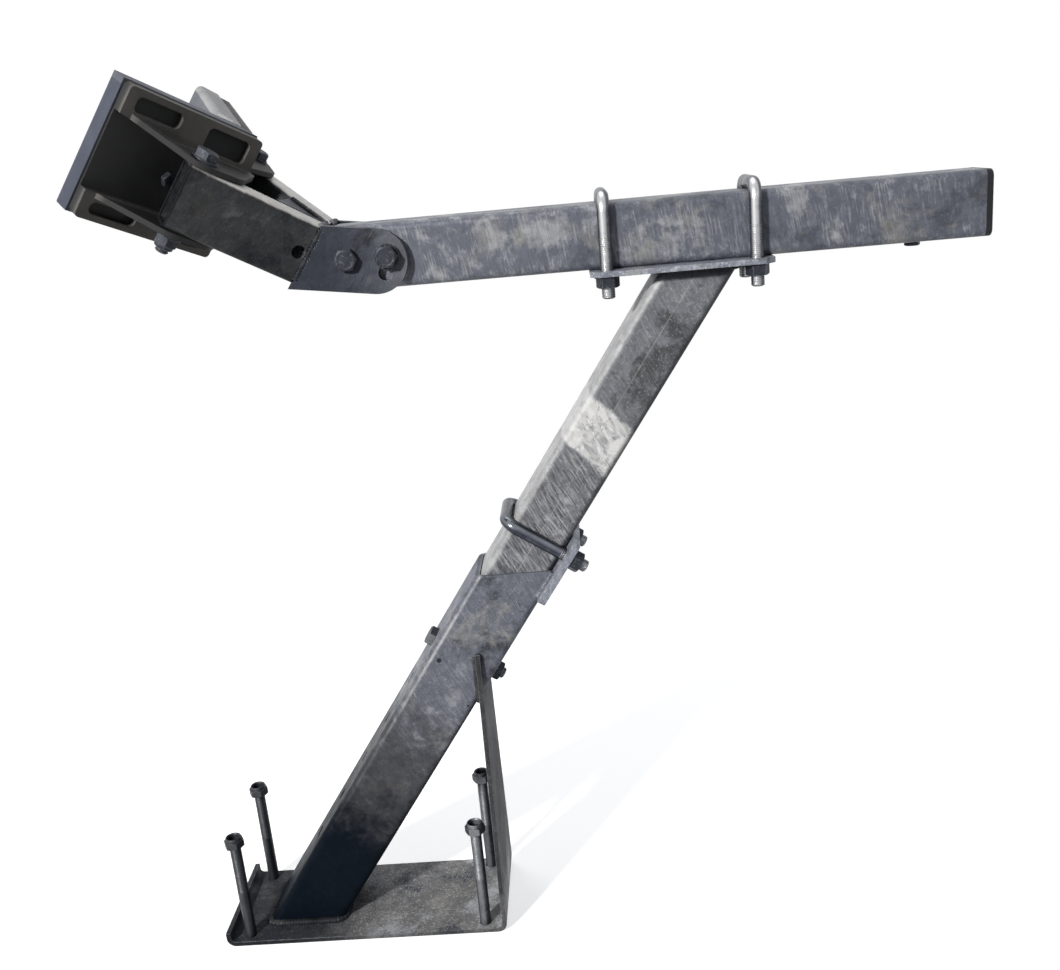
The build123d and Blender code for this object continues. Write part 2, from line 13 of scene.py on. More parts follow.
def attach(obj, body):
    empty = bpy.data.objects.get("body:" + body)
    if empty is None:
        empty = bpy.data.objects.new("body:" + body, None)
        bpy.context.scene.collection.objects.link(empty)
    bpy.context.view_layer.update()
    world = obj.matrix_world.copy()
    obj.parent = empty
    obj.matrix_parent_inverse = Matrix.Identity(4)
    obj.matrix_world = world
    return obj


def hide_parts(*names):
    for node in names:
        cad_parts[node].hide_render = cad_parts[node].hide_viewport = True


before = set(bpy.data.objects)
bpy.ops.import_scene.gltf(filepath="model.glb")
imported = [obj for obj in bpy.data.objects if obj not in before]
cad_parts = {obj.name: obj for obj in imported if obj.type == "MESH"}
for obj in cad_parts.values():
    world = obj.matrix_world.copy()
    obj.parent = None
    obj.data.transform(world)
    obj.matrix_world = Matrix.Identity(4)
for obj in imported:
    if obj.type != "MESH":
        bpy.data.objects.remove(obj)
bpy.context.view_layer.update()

LOG = logging.getLogger("bow_stop_stand")
MM = 0.001
Triple = tuple[float, float, float]
Colour = Triple
Socket = bpy.types.NodeSocket
Value = Socket | float | Sequence[float]
LEFT: Triple = (-1.0, 0.0, 0.0)
RIGHT: Triple = (1.0, 0.0, 0.0)
NEARER: Triple = (0.0, -1.0, 0.0)
FARTHER: Triple = (0.0, 1.0, 0.0)
UPWARD: Triple = (0.0, 0.0, 1.0)
# Colour of the painted shadow in the arms' open ends.
END_SHADOW: Colour = (0.012, 0.016, 0.024)


class Slot(Enum):
    """Names of material slots of the record."""

    GALVANISED = "galvanised"
    BRIGHT_ZINC = "bright_zinc"


class Side(Enum):
    """Sides of the stand: near is towards -Y, where the slot bolt's head is."""

    NEAR = 1
    FAR = -1


def add_object(name: str, data: bpy.types.ID) -> bpy.types.Object:
    """Make an object and link it to the scene.

    Args:
        name: Name of the object.
        data: Its mesh, curve, lamp or camera.

    Returns:
        The object.
    """
    thing = bpy.data.objects.new(name, data)
    bpy.context.scene.collection.objects.link(thing)
    return thing


class Sketch:
    """Shared helpers for a node tree that is written in code."""

    def __init__(self, tree: bpy.types.NodeTree) -> None:
        """Start writing in a tree."""
        self.tree = tree

    def add(self, kind: str, inputs: dict[str | int, Value] | None = None, **settings: object) -> bpy.types.Node:
        """Add a node, set its properties and feed its inputs.

        Args:
            kind: Blender's type name of the node.
            inputs: Sockets or constants, by the name or the number of the input that takes them.
            settings: Properties to set on it.

        Returns:
            The new node.
        """
        node = self.tree.nodes.new(kind)
        for key, value in settings.items():
            setattr(node, key, value)
        for key, value in (inputs or {}).items():
            self.join(value, node.inputs[key])
        return node

    def join(self, value: Value, socket: Socket) -> None:
        """Link a socket to an input, or set a constant on it.

        Args:
            value: Output socket or constant.
            socket: Input that takes it.
        """
        if isinstance(value, Socket):
            self.tree.links.new(value, socket)
        else:
            socket.default_value = value

    def calc(self, operation: str, first: Value, second: Value = 0.0) -> Socket:
        """Result of a Math node on two values."""
        return self.add("ShaderNodeMath", {0: first, 1: second}, operation=operation).outputs[0]

    def times(self, first: Value, second: Value) -> Socket:
        """Product of two values."""
        return self.calc("MULTIPLY", first, second)

    def plus(self, first: Value, second: Value) -> Socket:
        """Sum of two values."""
        return self.calc("ADD", first, second)

    def looked_at(self) -> Socket:
        """Light path mask: 1 for camera, glossy and transmission rays, which show what they meet.

        Returns:
            The mask.
        """
        rays = self.add("ShaderNodeLightPath").outputs
        straight = self.calc("MAXIMUM", rays["Is Camera Ray"], rays["Is Glossy Ray"])
        return self.calc("MAXIMUM", straight, rays["Is Transmission Ray"])

    def either(self, share: Value, first: bpy.types.Node, second: bpy.types.Node) -> bpy.types.Node:
        """Mix two shader nodes, by the share of the second."""
        return self.add("ShaderNodeMixShader", {0: share, 1: first.outputs[0], 2: second.outputs[0]})


class Shader(Sketch):
    """Node sketch of one material on its Principled surface, in object coordinates."""

    def __init__(self, name: str) -> None:
        """Start the material.

        Args:
            name: Name of the material.
        """
        self.material = bpy.data.materials.new(name)
        self.material.use_nodes = True
        super().__init__(self.material.node_tree)
        self.surface = self.tree.nodes["Principled BSDF"]
        self.place = self.add("ShaderNodeTexCoord").outputs["Object"]

    def turned(self, turn: float, width: float, length: float) -> Socket:
        """Coordinates turned about Y and then stretched.

        Args:
            turn: Angle in degrees from upright.
            width: Width of one noise unit, in millimetres.
            length: Its length along the turned axis.

        Returns:
            The vector.
        """
        rotation = (0.0, math.radians(turn), 0.0)
        stretch = (width * MM, width * MM, length * MM)
        node = self.add("ShaderNodeMapping", {"Vector": self.place, "Rotation": rotation, "Scale": stretch},
                        vector_type="TEXTURE")
        return node.outputs["Vector"]

    def noise(self, scale: float, detail: float = 4.0, rough: float = 0.6, warp: float = 0.0,
              vector: Socket | None = None) -> Socket:
        """Fractal noise from 0 to 1.

        Args:
            scale: Noise cells in a metre, or in one unit of the vector.
            detail: Octaves.
            rough: Share of the finer octaves.
            warp: Distortion.
            vector: Coordinates, the object's own if none are given.

        Returns:
            The noise value.
        """
        node = self.add("ShaderNodeTexNoise", {"Vector": vector or self.place, "Scale": scale, "Detail": detail,
                                               "Roughness": rough, "Distortion": warp})
        return node.outputs["Fac"]

    def cells(self, scale: float) -> Socket:
        """Random value from 0 to 1 per crystal of a Voronoi pattern, with a number of crystals in a metre."""
        node = self.add("ShaderNodeTexVoronoi", {"Vector": self.place, "Scale": scale}, feature="F1")
        return self.add("ShaderNodeSeparateColor", {"Color": node.outputs["Color"]}).outputs["Red"]

    def ranged(self, value: Value, low: float, high: float, out_low: float = 0.0, out_high: float = 1.0) -> Socket:
        """Map a value smoothly and clamped from one range to another.

        Args:
            value: Value to map.
            low: Value that gives out_low.
            high: Value that gives out_high.
            out_low: Result at low.
            out_high: Result at high.

        Returns:
            The mapped value.
        """
        node = self.add("ShaderNodeMapRange", {"Value": value, "From Min": low, "From Max": high, "To Min": out_low,
                                               "To Max": out_high}, interpolation_type="SMOOTHSTEP")
        return node.outputs["Result"]

    def ramp(self, value: Value, stops: Sequence[tuple[float, Colour]]) -> Socket:
        """Colour ramp.

        Args:
            value: Position on the ramp.
            stops: Positions with their colours.

        Returns:
            The colour.
        """
        node = self.add("ShaderNodeValToRGB", {"Fac": value})
        elements = node.color_ramp.elements
        while len(elements) < len(stops):
            elements.new(0.5)
        for element, (position, colour) in zip(elements, stops):
            element.position = position
            element.color = (*colour, 1.0)
        return node.outputs["Color"]

    def mix(self, share: Value, first: Value, second: Value, how: str = "MIX") -> Socket:
        """Mix two colours.

        Args:
            share: Share of the second colour.
            first: First colour, a socket or three numbers.
            second: Second colour, a socket or three numbers.
            how: Blend type.

        Returns:
            The mixed colour.
        """
        inputs = {0: share}
        for index, colour in ((6, first), (7, second)):
            inputs[index] = colour if isinstance(colour, Socket) else (*colour, 1.0)
        return self.add("ShaderNodeMix", inputs, data_type="RGBA", blend_type=how).outputs[2]

    def grey(self, value: Socket) -> Socket:
        """Grey colour of a value, for multiplying."""
        node = self.add("ShaderNodeCombineColor", {"Red": value, "Green": value, "Blue": value})
        return node.outputs["Color"]

    def near_point(self, point: Sequence[float], radius: float, soft: float) -> Socket:
        """Mask that is 1 inside a ball, with a soft rim, in metres."""
        node = self.add("ShaderNodeVectorMath", {0: self.place, 1: tuple(point)}, operation="DISTANCE")
        return self.ranged(node.outputs["Value"], radius + soft, radius)

    def dot(self, first: Value, second: Value) -> Socket:
        """Dot product of two vectors."""
        return self.add("ShaderNodeVectorMath", {0: first, 1: second}, operation="DOT_PRODUCT").outputs["Value"]

    def along(self, direction: Sequence[float]) -> Socket:
        """Distance along a direction, in metres."""
        return self.dot(self.place, tuple(direction))

    def facing(self, direction: Sequence[float]) -> Socket:
        """How far the surface faces a direction of its own frame, from -1 to 1."""
        return self.dot(self.add("ShaderNodeTexCoord").outputs["Normal"], tuple(direction))

    def soft_edges(self, radius: float) -> tuple[Socket, Socket]:
        """Rounded shading normal and a mask of the worn edges.

        Args:
            radius: Radius of the rounding in metres.

        Returns:
            The rounded normal, and a mask that is 1 on the edges.
        """
        rounded = self.add("ShaderNodeBevel", {"Radius": radius}, samples=4).outputs["Normal"]
        flatness = self.dot(rounded, self.add("ShaderNodeNewGeometry").outputs["Normal"])
        return rounded, self.ranged(flatness, 0.99, 0.86)

    def bump(self, height: Value, strength: float, depth: float, normal: Socket) -> None:
        """Give the surface a bumped normal.

        Args:
            height: Height value.
            strength: Strength of the bump.
            depth: Height of one unit in metres.
            normal: Normal to start from.
        """
        node = self.add("ShaderNodeBump",
                        {"Height": height, "Strength": strength, "Distance": depth, "Normal": normal})
        self.join(node.outputs["Normal"], self.surface.inputs["Normal"])

    def coat(self, colour: Value, rough: Value, metallic: float, gloss: float) -> None:
        """Set the surface's colour, roughness and gloss.

        Args:
            colour: Base colour.
            rough: Roughness.
            metallic: Share of metal.
            gloss: Specular level.
        """
        self.join(colour, self.surface.inputs["Base Color"])
        self.join(rough, self.surface.inputs["Roughness"])
        self.join(metallic, self.surface.inputs["Metallic"])
        self.join(gloss, self.surface.inputs["Specular IOR Level"])


@dataclass(frozen=True)
class Stain:
    """Dark spot on a zinc surface: place and radius in millimetres, and the share of the dark."""

    x: float
    y: float
    z: float
    radius: float
    depth: float
    soft: float = 0.5
    colour: Colour = (0.020, 0.021, 0.024)


@dataclass(frozen=True)
class Splash:
    """Pale band of bright zinc across a tube, between two distances along a direction, in millimetres."""

    direction: Triple
    start: float
    end: float
    soft: float = 2.5
    ragged: float = 16.0
    share: float = 0.9


@dataclass(frozen=True)
class Line:
    """Thin broken drawing line along a tube, at a distance along a direction that crosses it, in millimetres."""

    direction: Triple
    distance: float
    half_width: float
    share: float
    colour: Colour


@dataclass(frozen=True)
class Strokes:
    """Short brushed strokes in the zinc: turn from upright in degrees, width and length in millimetres."""

    turn: float
    width: float = 2.2
    length: float = 22.0
    pale: float = 0.5
    dark: float = 0.4
    cover: float = 0.0


@dataclass(frozen=True)
class Fade:
    """Change of colour along a direction, between two distances in millimetres, ragged and perhaps patchy."""

    direction: Triple
    start: float
    end: float
    share: float
    colour: Colour
    ragged: float
    patchy: float = 0.0

    def lay(self, s: Shader, colour: Value, patches: Socket) -> Socket:
        """Lay the change over a colour.

        Args:
            s: Node sketch of the material.
            colour: Colour so far.
            patches: Noise that makes the border uneven.

        Returns:
            The colour.
        """
        uneven = s.times(s.calc("SUBTRACT", patches, 0.5), self.ragged * MM)
        reach = s.plus(s.along(self.direction), uneven)
        share = s.ranged(reach, self.start * MM, self.end * MM, 0.0, self.share)
        if self.patchy:
            share = s.times(share, s.ranged(patches, 0.38, 0.62, 1.0 - self.patchy, 1.0))
        return s.mix(share, colour, self.colour)


class Finish:
    """Finish that is written as one material."""

    name: str

    def build(self) -> bpy.types.Material:
        """Write the material's nodes."""
        raise NotImplementedError


@dataclass(frozen=True)
class ZincFinish(Finish):
    """Hot-dip zinc: blue-grey mottle, warm pale blotches, strokes, specks, scratches and worn edges."""

    name: str
    strokes: Strokes
    tone: float = 1.0
    mottle: float = 10.0
    blotches: float = 0.5
    specks: float = 0.2
    wear: float = 0.5
    gloss: float = 0.30
    splash: Splash | None = None
    lines: tuple[Line, ...] = ()
    fades: tuple[Fade, ...] = ()
    stains: tuple[Stain, ...] = ()
    rough: float = 0.36
    metallic: float = 0.12
    deep: Colour = (0.062, 0.067, 0.080)
    middle: Colour = (0.146, 0.158, 0.192)
    pale: Colour = (0.322, 0.333, 0.358)
    warm: Colour = (0.318, 0.311, 0.298)
    bright: Colour = (0.620, 0.620, 0.620)
    patch_scale: float = 46.0
    grain_scale: float = 520.0
    blotch_scale: float = 20.0
    crystal_scale: float = 170.0
    vein_scale: float = 26.0
    break_scale: float = 40.0
    scratch_lean: float = 9.0
    scratch_size: tuple[float, float] = (1.2, 45.0)
    crust_size: tuple[float, float] = (9.0, 22.0)
    edge_radius: float = 1.1
    relief: float = 0.9

    def build(self) -> bpy.types.Material:
        """Write the material's nodes.

        Returns:
            The material.
        """
        s = Shader(self.name)
        broad = s.noise(self.mottle, detail=5.0, rough=0.62, warp=0.6)
        patches = s.noise(self.patch_scale, detail=6.0, rough=0.68, warp=0.3)
        grain = s.noise(self.grain_scale, detail=3.0, rough=0.7)
        blend = s.plus(s.times(broad, 0.6), s.times(patches, 0.4))
        colour = s.ramp(blend, [(0.40, self.deep), (0.47, self.middle), (0.53, self.middle), (0.61, self.pale)])
        blots = s.noise(self.blotch_scale, detail=8.0, rough=0.66, warp=0.5)
        colour = s.mix(s.ranged(blots, 0.52, 0.64, 0.0, self.blotches), colour, self.warm)
        cover = self.strokes.cover
        thin = s.times(s.ranged(patches, 0.36, 0.56, cover), s.ranged(broad, 0.40, 0.52, max(0.3, cover)))
        colour, height = self.brush(s, colour, thin)
        fleck = s.ranged(s.cells(self.crystal_scale), 0.0, 1.0, 0.90, 1.10)
        colour = s.mix(s.ranged(grain, 0.58, 0.66, 0.0, self.specks), colour, self.bright)
        colour = s.mix(s.ranged(grain, 0.42, 0.34, 0.0, self.specks), colour, self.deep)
        colour = self.mark(s, colour, patches)
        colour = s.mix(1.0, colour, s.grey(s.times(fleck, self.tone)), "MULTIPLY")
        normal, edges = s.soft_edges(self.edge_radius * MM)
        worn = s.times(edges, s.ranged(patches, 0.30, 0.62, self.wear * 0.3, self.wear))
        colour = s.mix(worn, colour, self.pale)
        rough = s.ranged(blend, 0.35, 0.68, self.rough + 0.16, self.rough)
        s.coat(colour, rough, self.metallic, self.gloss)
        relief = s.plus(s.times(patches, 0.8), s.times(grain, 0.25))
        s.bump(s.plus(relief, s.times(height, 0.5)), 0.4, self.relief * MM, normal)
        return s.material

    def brush(self, s: Shader, colour: Socket, thin: Socket) -> tuple[Socket, Socket]:
        """Lay strokes and long scratches over the mottle.

        Args:
            s: Node sketch of the material.
            colour: Colour so far.
            thin: Mask that thins the strokes out.

        Returns:
            The colour, and the strokes as a height.
        """
        look = self.strokes
        if self.splash:
            reach = s.along(self.splash.direction)
            calm = s.ranged(reach, self.splash.start * MM, self.splash.end * MM, 1.0, 0.3)
            thin = s.times(thin, calm)
        run = s.turned(look.turn, look.width, look.length)
        lines = s.noise(1.0, detail=4.0, rough=0.62, warp=0.2, vector=run)
        colour = s.mix(s.times(s.ranged(lines, 0.52, 0.60, 0.0, look.pale), thin), colour, self.pale)
        colour = s.mix(s.times(s.ranged(lines, 0.47, 0.38, 0.0, look.dark), thin), colour, self.deep)
        run = s.turned(look.turn + self.scratch_lean, *self.scratch_size)
        scratch = s.noise(1.0, detail=2.0, rough=0.5, warp=0.1, vector=run)
        return s.mix(s.ranged(scratch, 0.72, 0.79, 0.0, 0.7), colour, self.bright), lines

    def mark(self, s: Shader, colour: Socket, patches: Socket) -> Socket:
        """Add the splash, the stains, the lines and the fades that this finish has.

        Args:
            s: Node sketch of the material.
            colour: Colour so far.
            patches: Noise that makes their edges uneven.

        Returns:
            The colour.
        """
        if self.splash:
            band = self.splash
            uneven = s.times(s.calc("SUBTRACT", patches, 0.5), band.ragged * MM)
            reach = s.plus(s.along(band.direction), uneven)
            inside = s.times(
                s.ranged(reach, (band.start - band.soft) * MM, (band.start + band.soft) * MM),
                s.ranged(reach, (band.end + band.soft) * MM, (band.end - band.soft) * MM),
            )
            run = s.turned(self.strokes.turn, *self.crust_size)
            crust = s.noise(1.0, detail=5.0, rough=0.66, warp=0.8, vector=run)
            shine_and_highlight = s.ramp(crust, [(0.26, self.middle), (0.36, self.pale), (0.50, self.bright)])
            veins = s.noise(self.vein_scale, detail=6.0, rough=0.62, warp=0.6)
            vein = s.calc("ABSOLUTE", s.calc("SUBTRACT", veins, 0.5))
            shine_and_highlight = s.mix(s.ranged(vein, 0.009, 0.002, 0.0, 0.6), shine_and_highlight, self.deep)
            colour = s.mix(s.times(inside, band.share), colour, shine_and_highlight)
        for stain in self.stains:
            spot = s.near_point((stain.x * MM, stain.y * MM, stain.z * MM), stain.radius * MM, stain.soft * MM)
            colour = s.mix(s.times(spot, stain.depth), colour, stain.colour)
        for line in self.lines:
            offset = s.calc("SUBTRACT", s.along(line.direction), line.distance * MM)
            inside = s.ranged(s.calc("ABSOLUTE", offset), line.half_width * 1.6 * MM, line.half_width * 0.6 * MM)
            breaks = s.noise(self.break_scale, detail=6.0, rough=0.7)
            broken = s.ranged(breaks, 0.36, 0.62, line.share * 0.3, line.share)
            colour = s.mix(s.times(inside, broken), colour, line.colour)
        for fade in self.fades:
            colour = fade.lay(s, colour, patches)
        return colour


@dataclass(frozen=True)
class FastenerFinish(Finish):
    """Smooth zinc plating with a little grime, rubbed bright on its edges, and with a painted highlight on one side.
    """

    name: str
    dull: Colour
    clean: Colour
    rubbed: Colour
    metallic: float = 0.9
    rough: float = 0.30
    gloss: float = 0.5
    edge: float = 0.35
    flecks: float = 0.2
    # Share of a painted highlight, and the direction that the highlighted side faces.
    painted_highlight: float = 0.0
    highlight_side: Triple = (-0.28, -0.85, 0.45)
    fades: tuple[Fade, ...] = ()
    cloud_scale: float = 95.0
    grain_scale: float = 900.0
    fleck_scale: float = 340.0
    edge_radius: float = 0.7
    relief: float = 0.3

    def build(self) -> bpy.types.Material:
        """Write the material's nodes.

        Returns:
            The material.
        """
        s = Shader(self.name)
        cloud = s.noise(self.cloud_scale, detail=5.0, rough=0.62, warp=0.4)
        grain = s.noise(self.grain_scale, detail=2.0, rough=0.6)
        colour = s.ramp(cloud, [(0.30, self.dull), (0.72, self.clean)])
        flecks = s.noise(self.fleck_scale, detail=3.0, rough=0.6)
        colour = s.mix(s.ranged(flecks, 0.56, 0.70, 0.0, self.flecks), colour, self.rubbed)
        # Painted highlight on the side that faces one direction.
        if self.painted_highlight:
            bright = s.ranged(s.facing(self.highlight_side), 0.62, 0.88, 0.0, self.painted_highlight)
            colour = s.mix(s.times(bright, s.ranged(cloud, 0.25, 0.6, 0.7, 1.0)), colour, self.rubbed)
        normal, edges = s.soft_edges(self.edge_radius * MM)
        colour = s.mix(s.times(edges, self.edge), colour, self.rubbed)
        for fade in self.fades:
            colour = fade.lay(s, colour, cloud)
        rough = s.ranged(cloud, 0.3, 0.7, self.rough + 0.08, self.rough)
        s.coat(colour, rough, self.metallic, self.gloss)
        relief = s.plus(s.times(cloud, 0.3), s.times(grain, 0.2))
        s.bump(relief, 0.12, self.relief * MM, normal)
        return s.material


@dataclass(frozen=True)
class PolymerFinish(Finish):
    """Black moulded plastic or rubber with dust, scuffs and a fine skin."""

    name: str
    body: Colour
    dust: Colour
    rough: float
    dusty: float
    scuffs: float
    fades: tuple[Fade, ...] = ()
    gloss: float = 0.25
    cloud_scale: float = 26.0
    skin_scale: float = 780.0
    scuff_turn: float = 35.0
    scuff_size: tuple[float, float] = (1.6, 30.0)
    edge_radius: float = 1.2
    edge: float = 0.35
    relief: float = 0.5

    def build(self) -> bpy.types.Material:
        """Write the material's nodes.

        Returns:
            The material.
        """
        s = Shader(self.name)
        cloud = s.noise(self.cloud_scale, detail=5.0, rough=0.6, warp=0.5)
        skin = s.noise(self.skin_scale, detail=3.0, rough=0.65)
        colour = s.mix(s.ranged(cloud, 0.40, 0.68, 0.0, self.dusty), self.body, self.dust)
        run = s.turned(self.scuff_turn, *self.scuff_size)
        strokes = s.noise(1.0, detail=3.0, rough=0.55, warp=0.3, vector=run)
        colour = s.mix(s.ranged(strokes, 0.66, 0.74, 0.0, self.scuffs), colour, self.dust)
        normal, edges = s.soft_edges(self.edge_radius * MM)
        colour = s.mix(s.times(edges, self.edge), colour, self.dust)
        for fade in self.fades:
            colour = fade.lay(s, colour, cloud)
        rough = s.ranged(cloud, 0.3, 0.7, self.rough - 0.06, self.rough + 0.10)
        s.coat(colour, rough, 0.0, self.gloss)
        s.bump(s.plus(skin, s.times(cloud, 0.6)), 0.22, self.relief * MM, normal)
        return s.material


RIPPLES = Strokes(0.0, 2.5, 5.0, pale=0.4, dark=0.4)
WELD = ZincFinish("weld", RIPPLES, tone=0.26, mottle=40.0, specks=0.3, gloss=0.1)
# Its low tone is painted shade, for the welds at the post's foot and under the top plate.
FOOT_WELD = ZincFinish("foot_weld", RIPPLES, tone=0.12, mottle=40.0, specks=0.2, gloss=0.1)
KNUCKLE_WELD = ZincFinish("knuckle_weld", RIPPLES, tone=0.55, mottle=40.0, specks=0.4, gloss=0.1)
# Its high tone is a painted highlight, the lit toe of a weld.
WELD_TOE = ZincFinish("weld_toe", RIPPLES, tone=0.9, mottle=40.0, specks=0.4)
PLATE_ZINC = ZincFinish("plate_zinc", Strokes(5.0, 2.5, 16.0, pale=0.4, dark=0.3), tone=1.5, mottle=16.0, specks=0.5,
                        wear=0.9)
# PLATING, DARK_PLATING and BASE_PLATING paint a highlight on one side of their fasteners.
PLATING = FastenerFinish("plating", dull=(0.050, 0.056, 0.070), clean=(0.105, 0.112, 0.130),
                         rubbed=(0.520, 0.525, 0.535), painted_highlight=0.95)
DARK_PLATING = FastenerFinish("dark_plating", dull=(0.022, 0.026, 0.037), clean=(0.060, 0.067, 0.085),
                              rubbed=(0.260, 0.275, 0.310), rough=0.18, painted_highlight=0.6,
                              highlight_side=(-0.20, -0.65, 0.73))
DULL_PLATING = FastenerFinish("dull_plating", dull=(0.010, 0.012, 0.017), clean=(0.038, 0.043, 0.056),
                              rubbed=(0.220, 0.232, 0.258), metallic=0.35, rough=0.48, gloss=0.25, edge=0.8,
                              flecks=0.35)
BASE_PLATING = FastenerFinish("base_plating", dull=(0.016, 0.018, 0.024), clean=(0.060, 0.065, 0.078),
                              rubbed=(0.280, 0.290, 0.310), metallic=0.5, rough=0.40, gloss=0.25, edge=0.5,
                              painted_highlight=0.6,
                              # Painted shadow over the bolts at the left end.
                              fades=(Fade(LEFT, 60.0, 100.0, 0.75, (0.008, 0.010, 0.014), ragged=10.0),))
CAP_PLASTIC = PolymerFinish("cap_plastic", body=(0.008, 0.009, 0.011), dust=(0.022, 0.023, 0.026), rough=0.5,
                            dusty=0.4, scuffs=0.2)


class Shape(Sketch):
    """Node sketch of one Geometry Nodes tree that ends in Realize Instances and Set Material."""

    def __init__(self, name: str) -> None:
        """Start the tree with its geometry sockets.

        Args:
            name: Name of the tree.
        """
        super().__init__(bpy.data.node_groups.new(name, "GeometryNodeTree"))
        for way in ("INPUT", "OUTPUT"):
            self.tree.interface.new_socket("Geometry", in_out=way, socket_type="NodeSocketGeometry")
        self.inlet = self.add("NodeGroupInput")
        self.outlet = self.add("NodeGroupOutput")

    @property
    def start(self) -> Socket:
        """Geometry that the tree starts from."""
        return self.inlet.outputs["Geometry"]

    def size(self, name: str, kind: str = "NodeSocketFloat") -> Socket:
        """Named input of the tree, added with a socket type."""
        self.tree.interface.new_socket(name, in_out="INPUT", socket_type=kind)
        return self.inlet.outputs[name]

    def sweep(self, curve: Socket, sides: int, radius: Value, scale: Value = 1.0) -> Socket:
        """Sweep a round profile along a curve and cap its ends.

        Args:
            curve: Curve to follow.
            sides: Sides of the profile.
            radius: Radius of the profile.
            scale: Scale of the profile at each point.

        Returns:
            The mesh.
        """
        profile = self.add("GeometryNodeCurvePrimitiveCircle", {"Resolution": sides, "Radius": radius}, mode="RADIUS")
        swept = self.add("GeometryNodeCurveToMesh", {"Curve": curve, "Profile Curve": profile.outputs["Curve"],
                                                     "Scale": scale, "Fill Caps": True})
        return swept.outputs["Mesh"]

    def set_out(self, geometry: Socket) -> None:
        """Set a shape out on the turned points that the tree starts from, and close the tree.

        Args:
            geometry: Shape to set out.
        """
        turn = self.add("GeometryNodeInputNamedAttribute", {"Name": "turn"}, data_type="QUATERNION")
        placed = self.add("GeometryNodeInstanceOnPoints", {"Points": self.start, "Instance": geometry,
                                                           "Rotation": turn.outputs["Attribute"]})
        self.close(placed.outputs["Instances"])

    def close(self, geometry: Socket) -> None:
        """Realize the result and give it the Finish input's material.

        Args:
            geometry: Geometry to close with.
        """
        finish = self.size("Finish", "NodeSocketMaterial")
        real = self.add("GeometryNodeRealizeInstances", {0: geometry})
        dressed = self.add("GeometryNodeSetMaterial", {"Geometry": real.outputs[0], "Material": finish})
        self.join(dressed.outputs["Geometry"], self.outlet.inputs["Geometry"])

    def make(self, name: str, host: bpy.types.ID, sizes: dict[str, object]) -> bpy.types.Object:
        """Run the tree on a mesh or a curve and keep the result as a plain mesh.

        Args:
            name: Name of the new object.
            host: Mesh or curve that the tree starts from.
            sizes: Values of the named inputs.

        Returns:
            The new object, with no modifier left on it.
        """
        seed = add_object(name + "_seed", host)
        modifier = seed.modifiers.new("shape", "NODES")
        modifier.node_group = self.tree
        for item in self.tree.interface.items_tree:
            if item.in_out == "INPUT" and item.name in sizes:
                modifier[item.identifier] = sizes[item.name]
        graph = bpy.context.evaluated_depsgraph_get()
        mesh = bpy.data.meshes.new_from_object(seed.evaluated_get(graph), depsgraph=graph)
        bpy.data.objects.remove(seed)
        mesh.name = name
        return add_object(name, mesh)


def set_out_tree() -> Shape:
    """Tree that sets a fastener out on turned points.

    Returns:
        The tree, with the inputs Fastener and Finish.
    """
    s = Shape("set_out_fasteners")
    source = s.add("GeometryNodeObjectInfo", {"Object": s.size("Fastener", "NodeSocketObject")})
    s.set_out(source.outputs["Geometry"])
    return s


def thread_tree() -> Shape:
    """Tree that winds a thread on turned points.

    Returns:
        The tree, with the inputs Radius, Pitch, Turns, Ridge and Finish.
    """
    turn_points, ridge_sides = 20, 4
    s = Shape("wind_threads")
    radius, pitch, turns, ridge = [s.size(name) for name in ("Radius", "Pitch", "Turns", "Ridge")]
    helix = s.add("GeometryNodeCurveSpiral", {"Resolution": turn_points, "Rotations": turns, "Start Radius": radius,
                                              "End Radius": radius, "Height": s.times(turns, pitch)})
    s.set_out(s.sweep(helix.outputs["Curve"], ridge_sides, ridge))
    return s


def bead_tree() -> Shape:
    """Tree that lays a rippled weld bead along a curve.

    Returns:
        The tree, with the inputs Width, Ripple, Seed and Finish.
    """
    step, sides = 0.9 * MM, 12
    lump_scale, lump_share, ripple_share = 160.0, 0.7, 0.10
    s = Shape("lay_weld_bead")
    width, ripple, seed = [s.size(name) for name in ("Width", "Ripple", "Seed")]
    fine = s.add("GeometryNodeResampleCurve", {"Curve": s.start, "Length": step}, mode="LENGTH")
    length = s.add("GeometryNodeSplineParameter").outputs["Length"]
    wave = s.calc("SINE", s.times(s.calc("DIVIDE", length, ripple), math.tau))
    lumps = s.add("ShaderNodeTexNoise", {"W": seed, "Scale": lump_scale}, noise_dimensions="4D").outputs["Fac"]
    uneven = s.times(s.calc("SUBTRACT", lumps, 0.5), lump_share)
    swell = s.plus(s.plus(1.0, s.times(wave, ripple_share)), uneven)
    s.close(s.sweep(fine.outputs["Curve"], sides, 1.0, s.times(swell, s.times(width, 0.5))))
    return s


Ring = Callable[[float], tuple[float, float]]


def round_ring(radius: float, height: float) -> Ring:
    """Ring of one radius at one height, in millimetres."""
    return lambda angle: (radius, height)


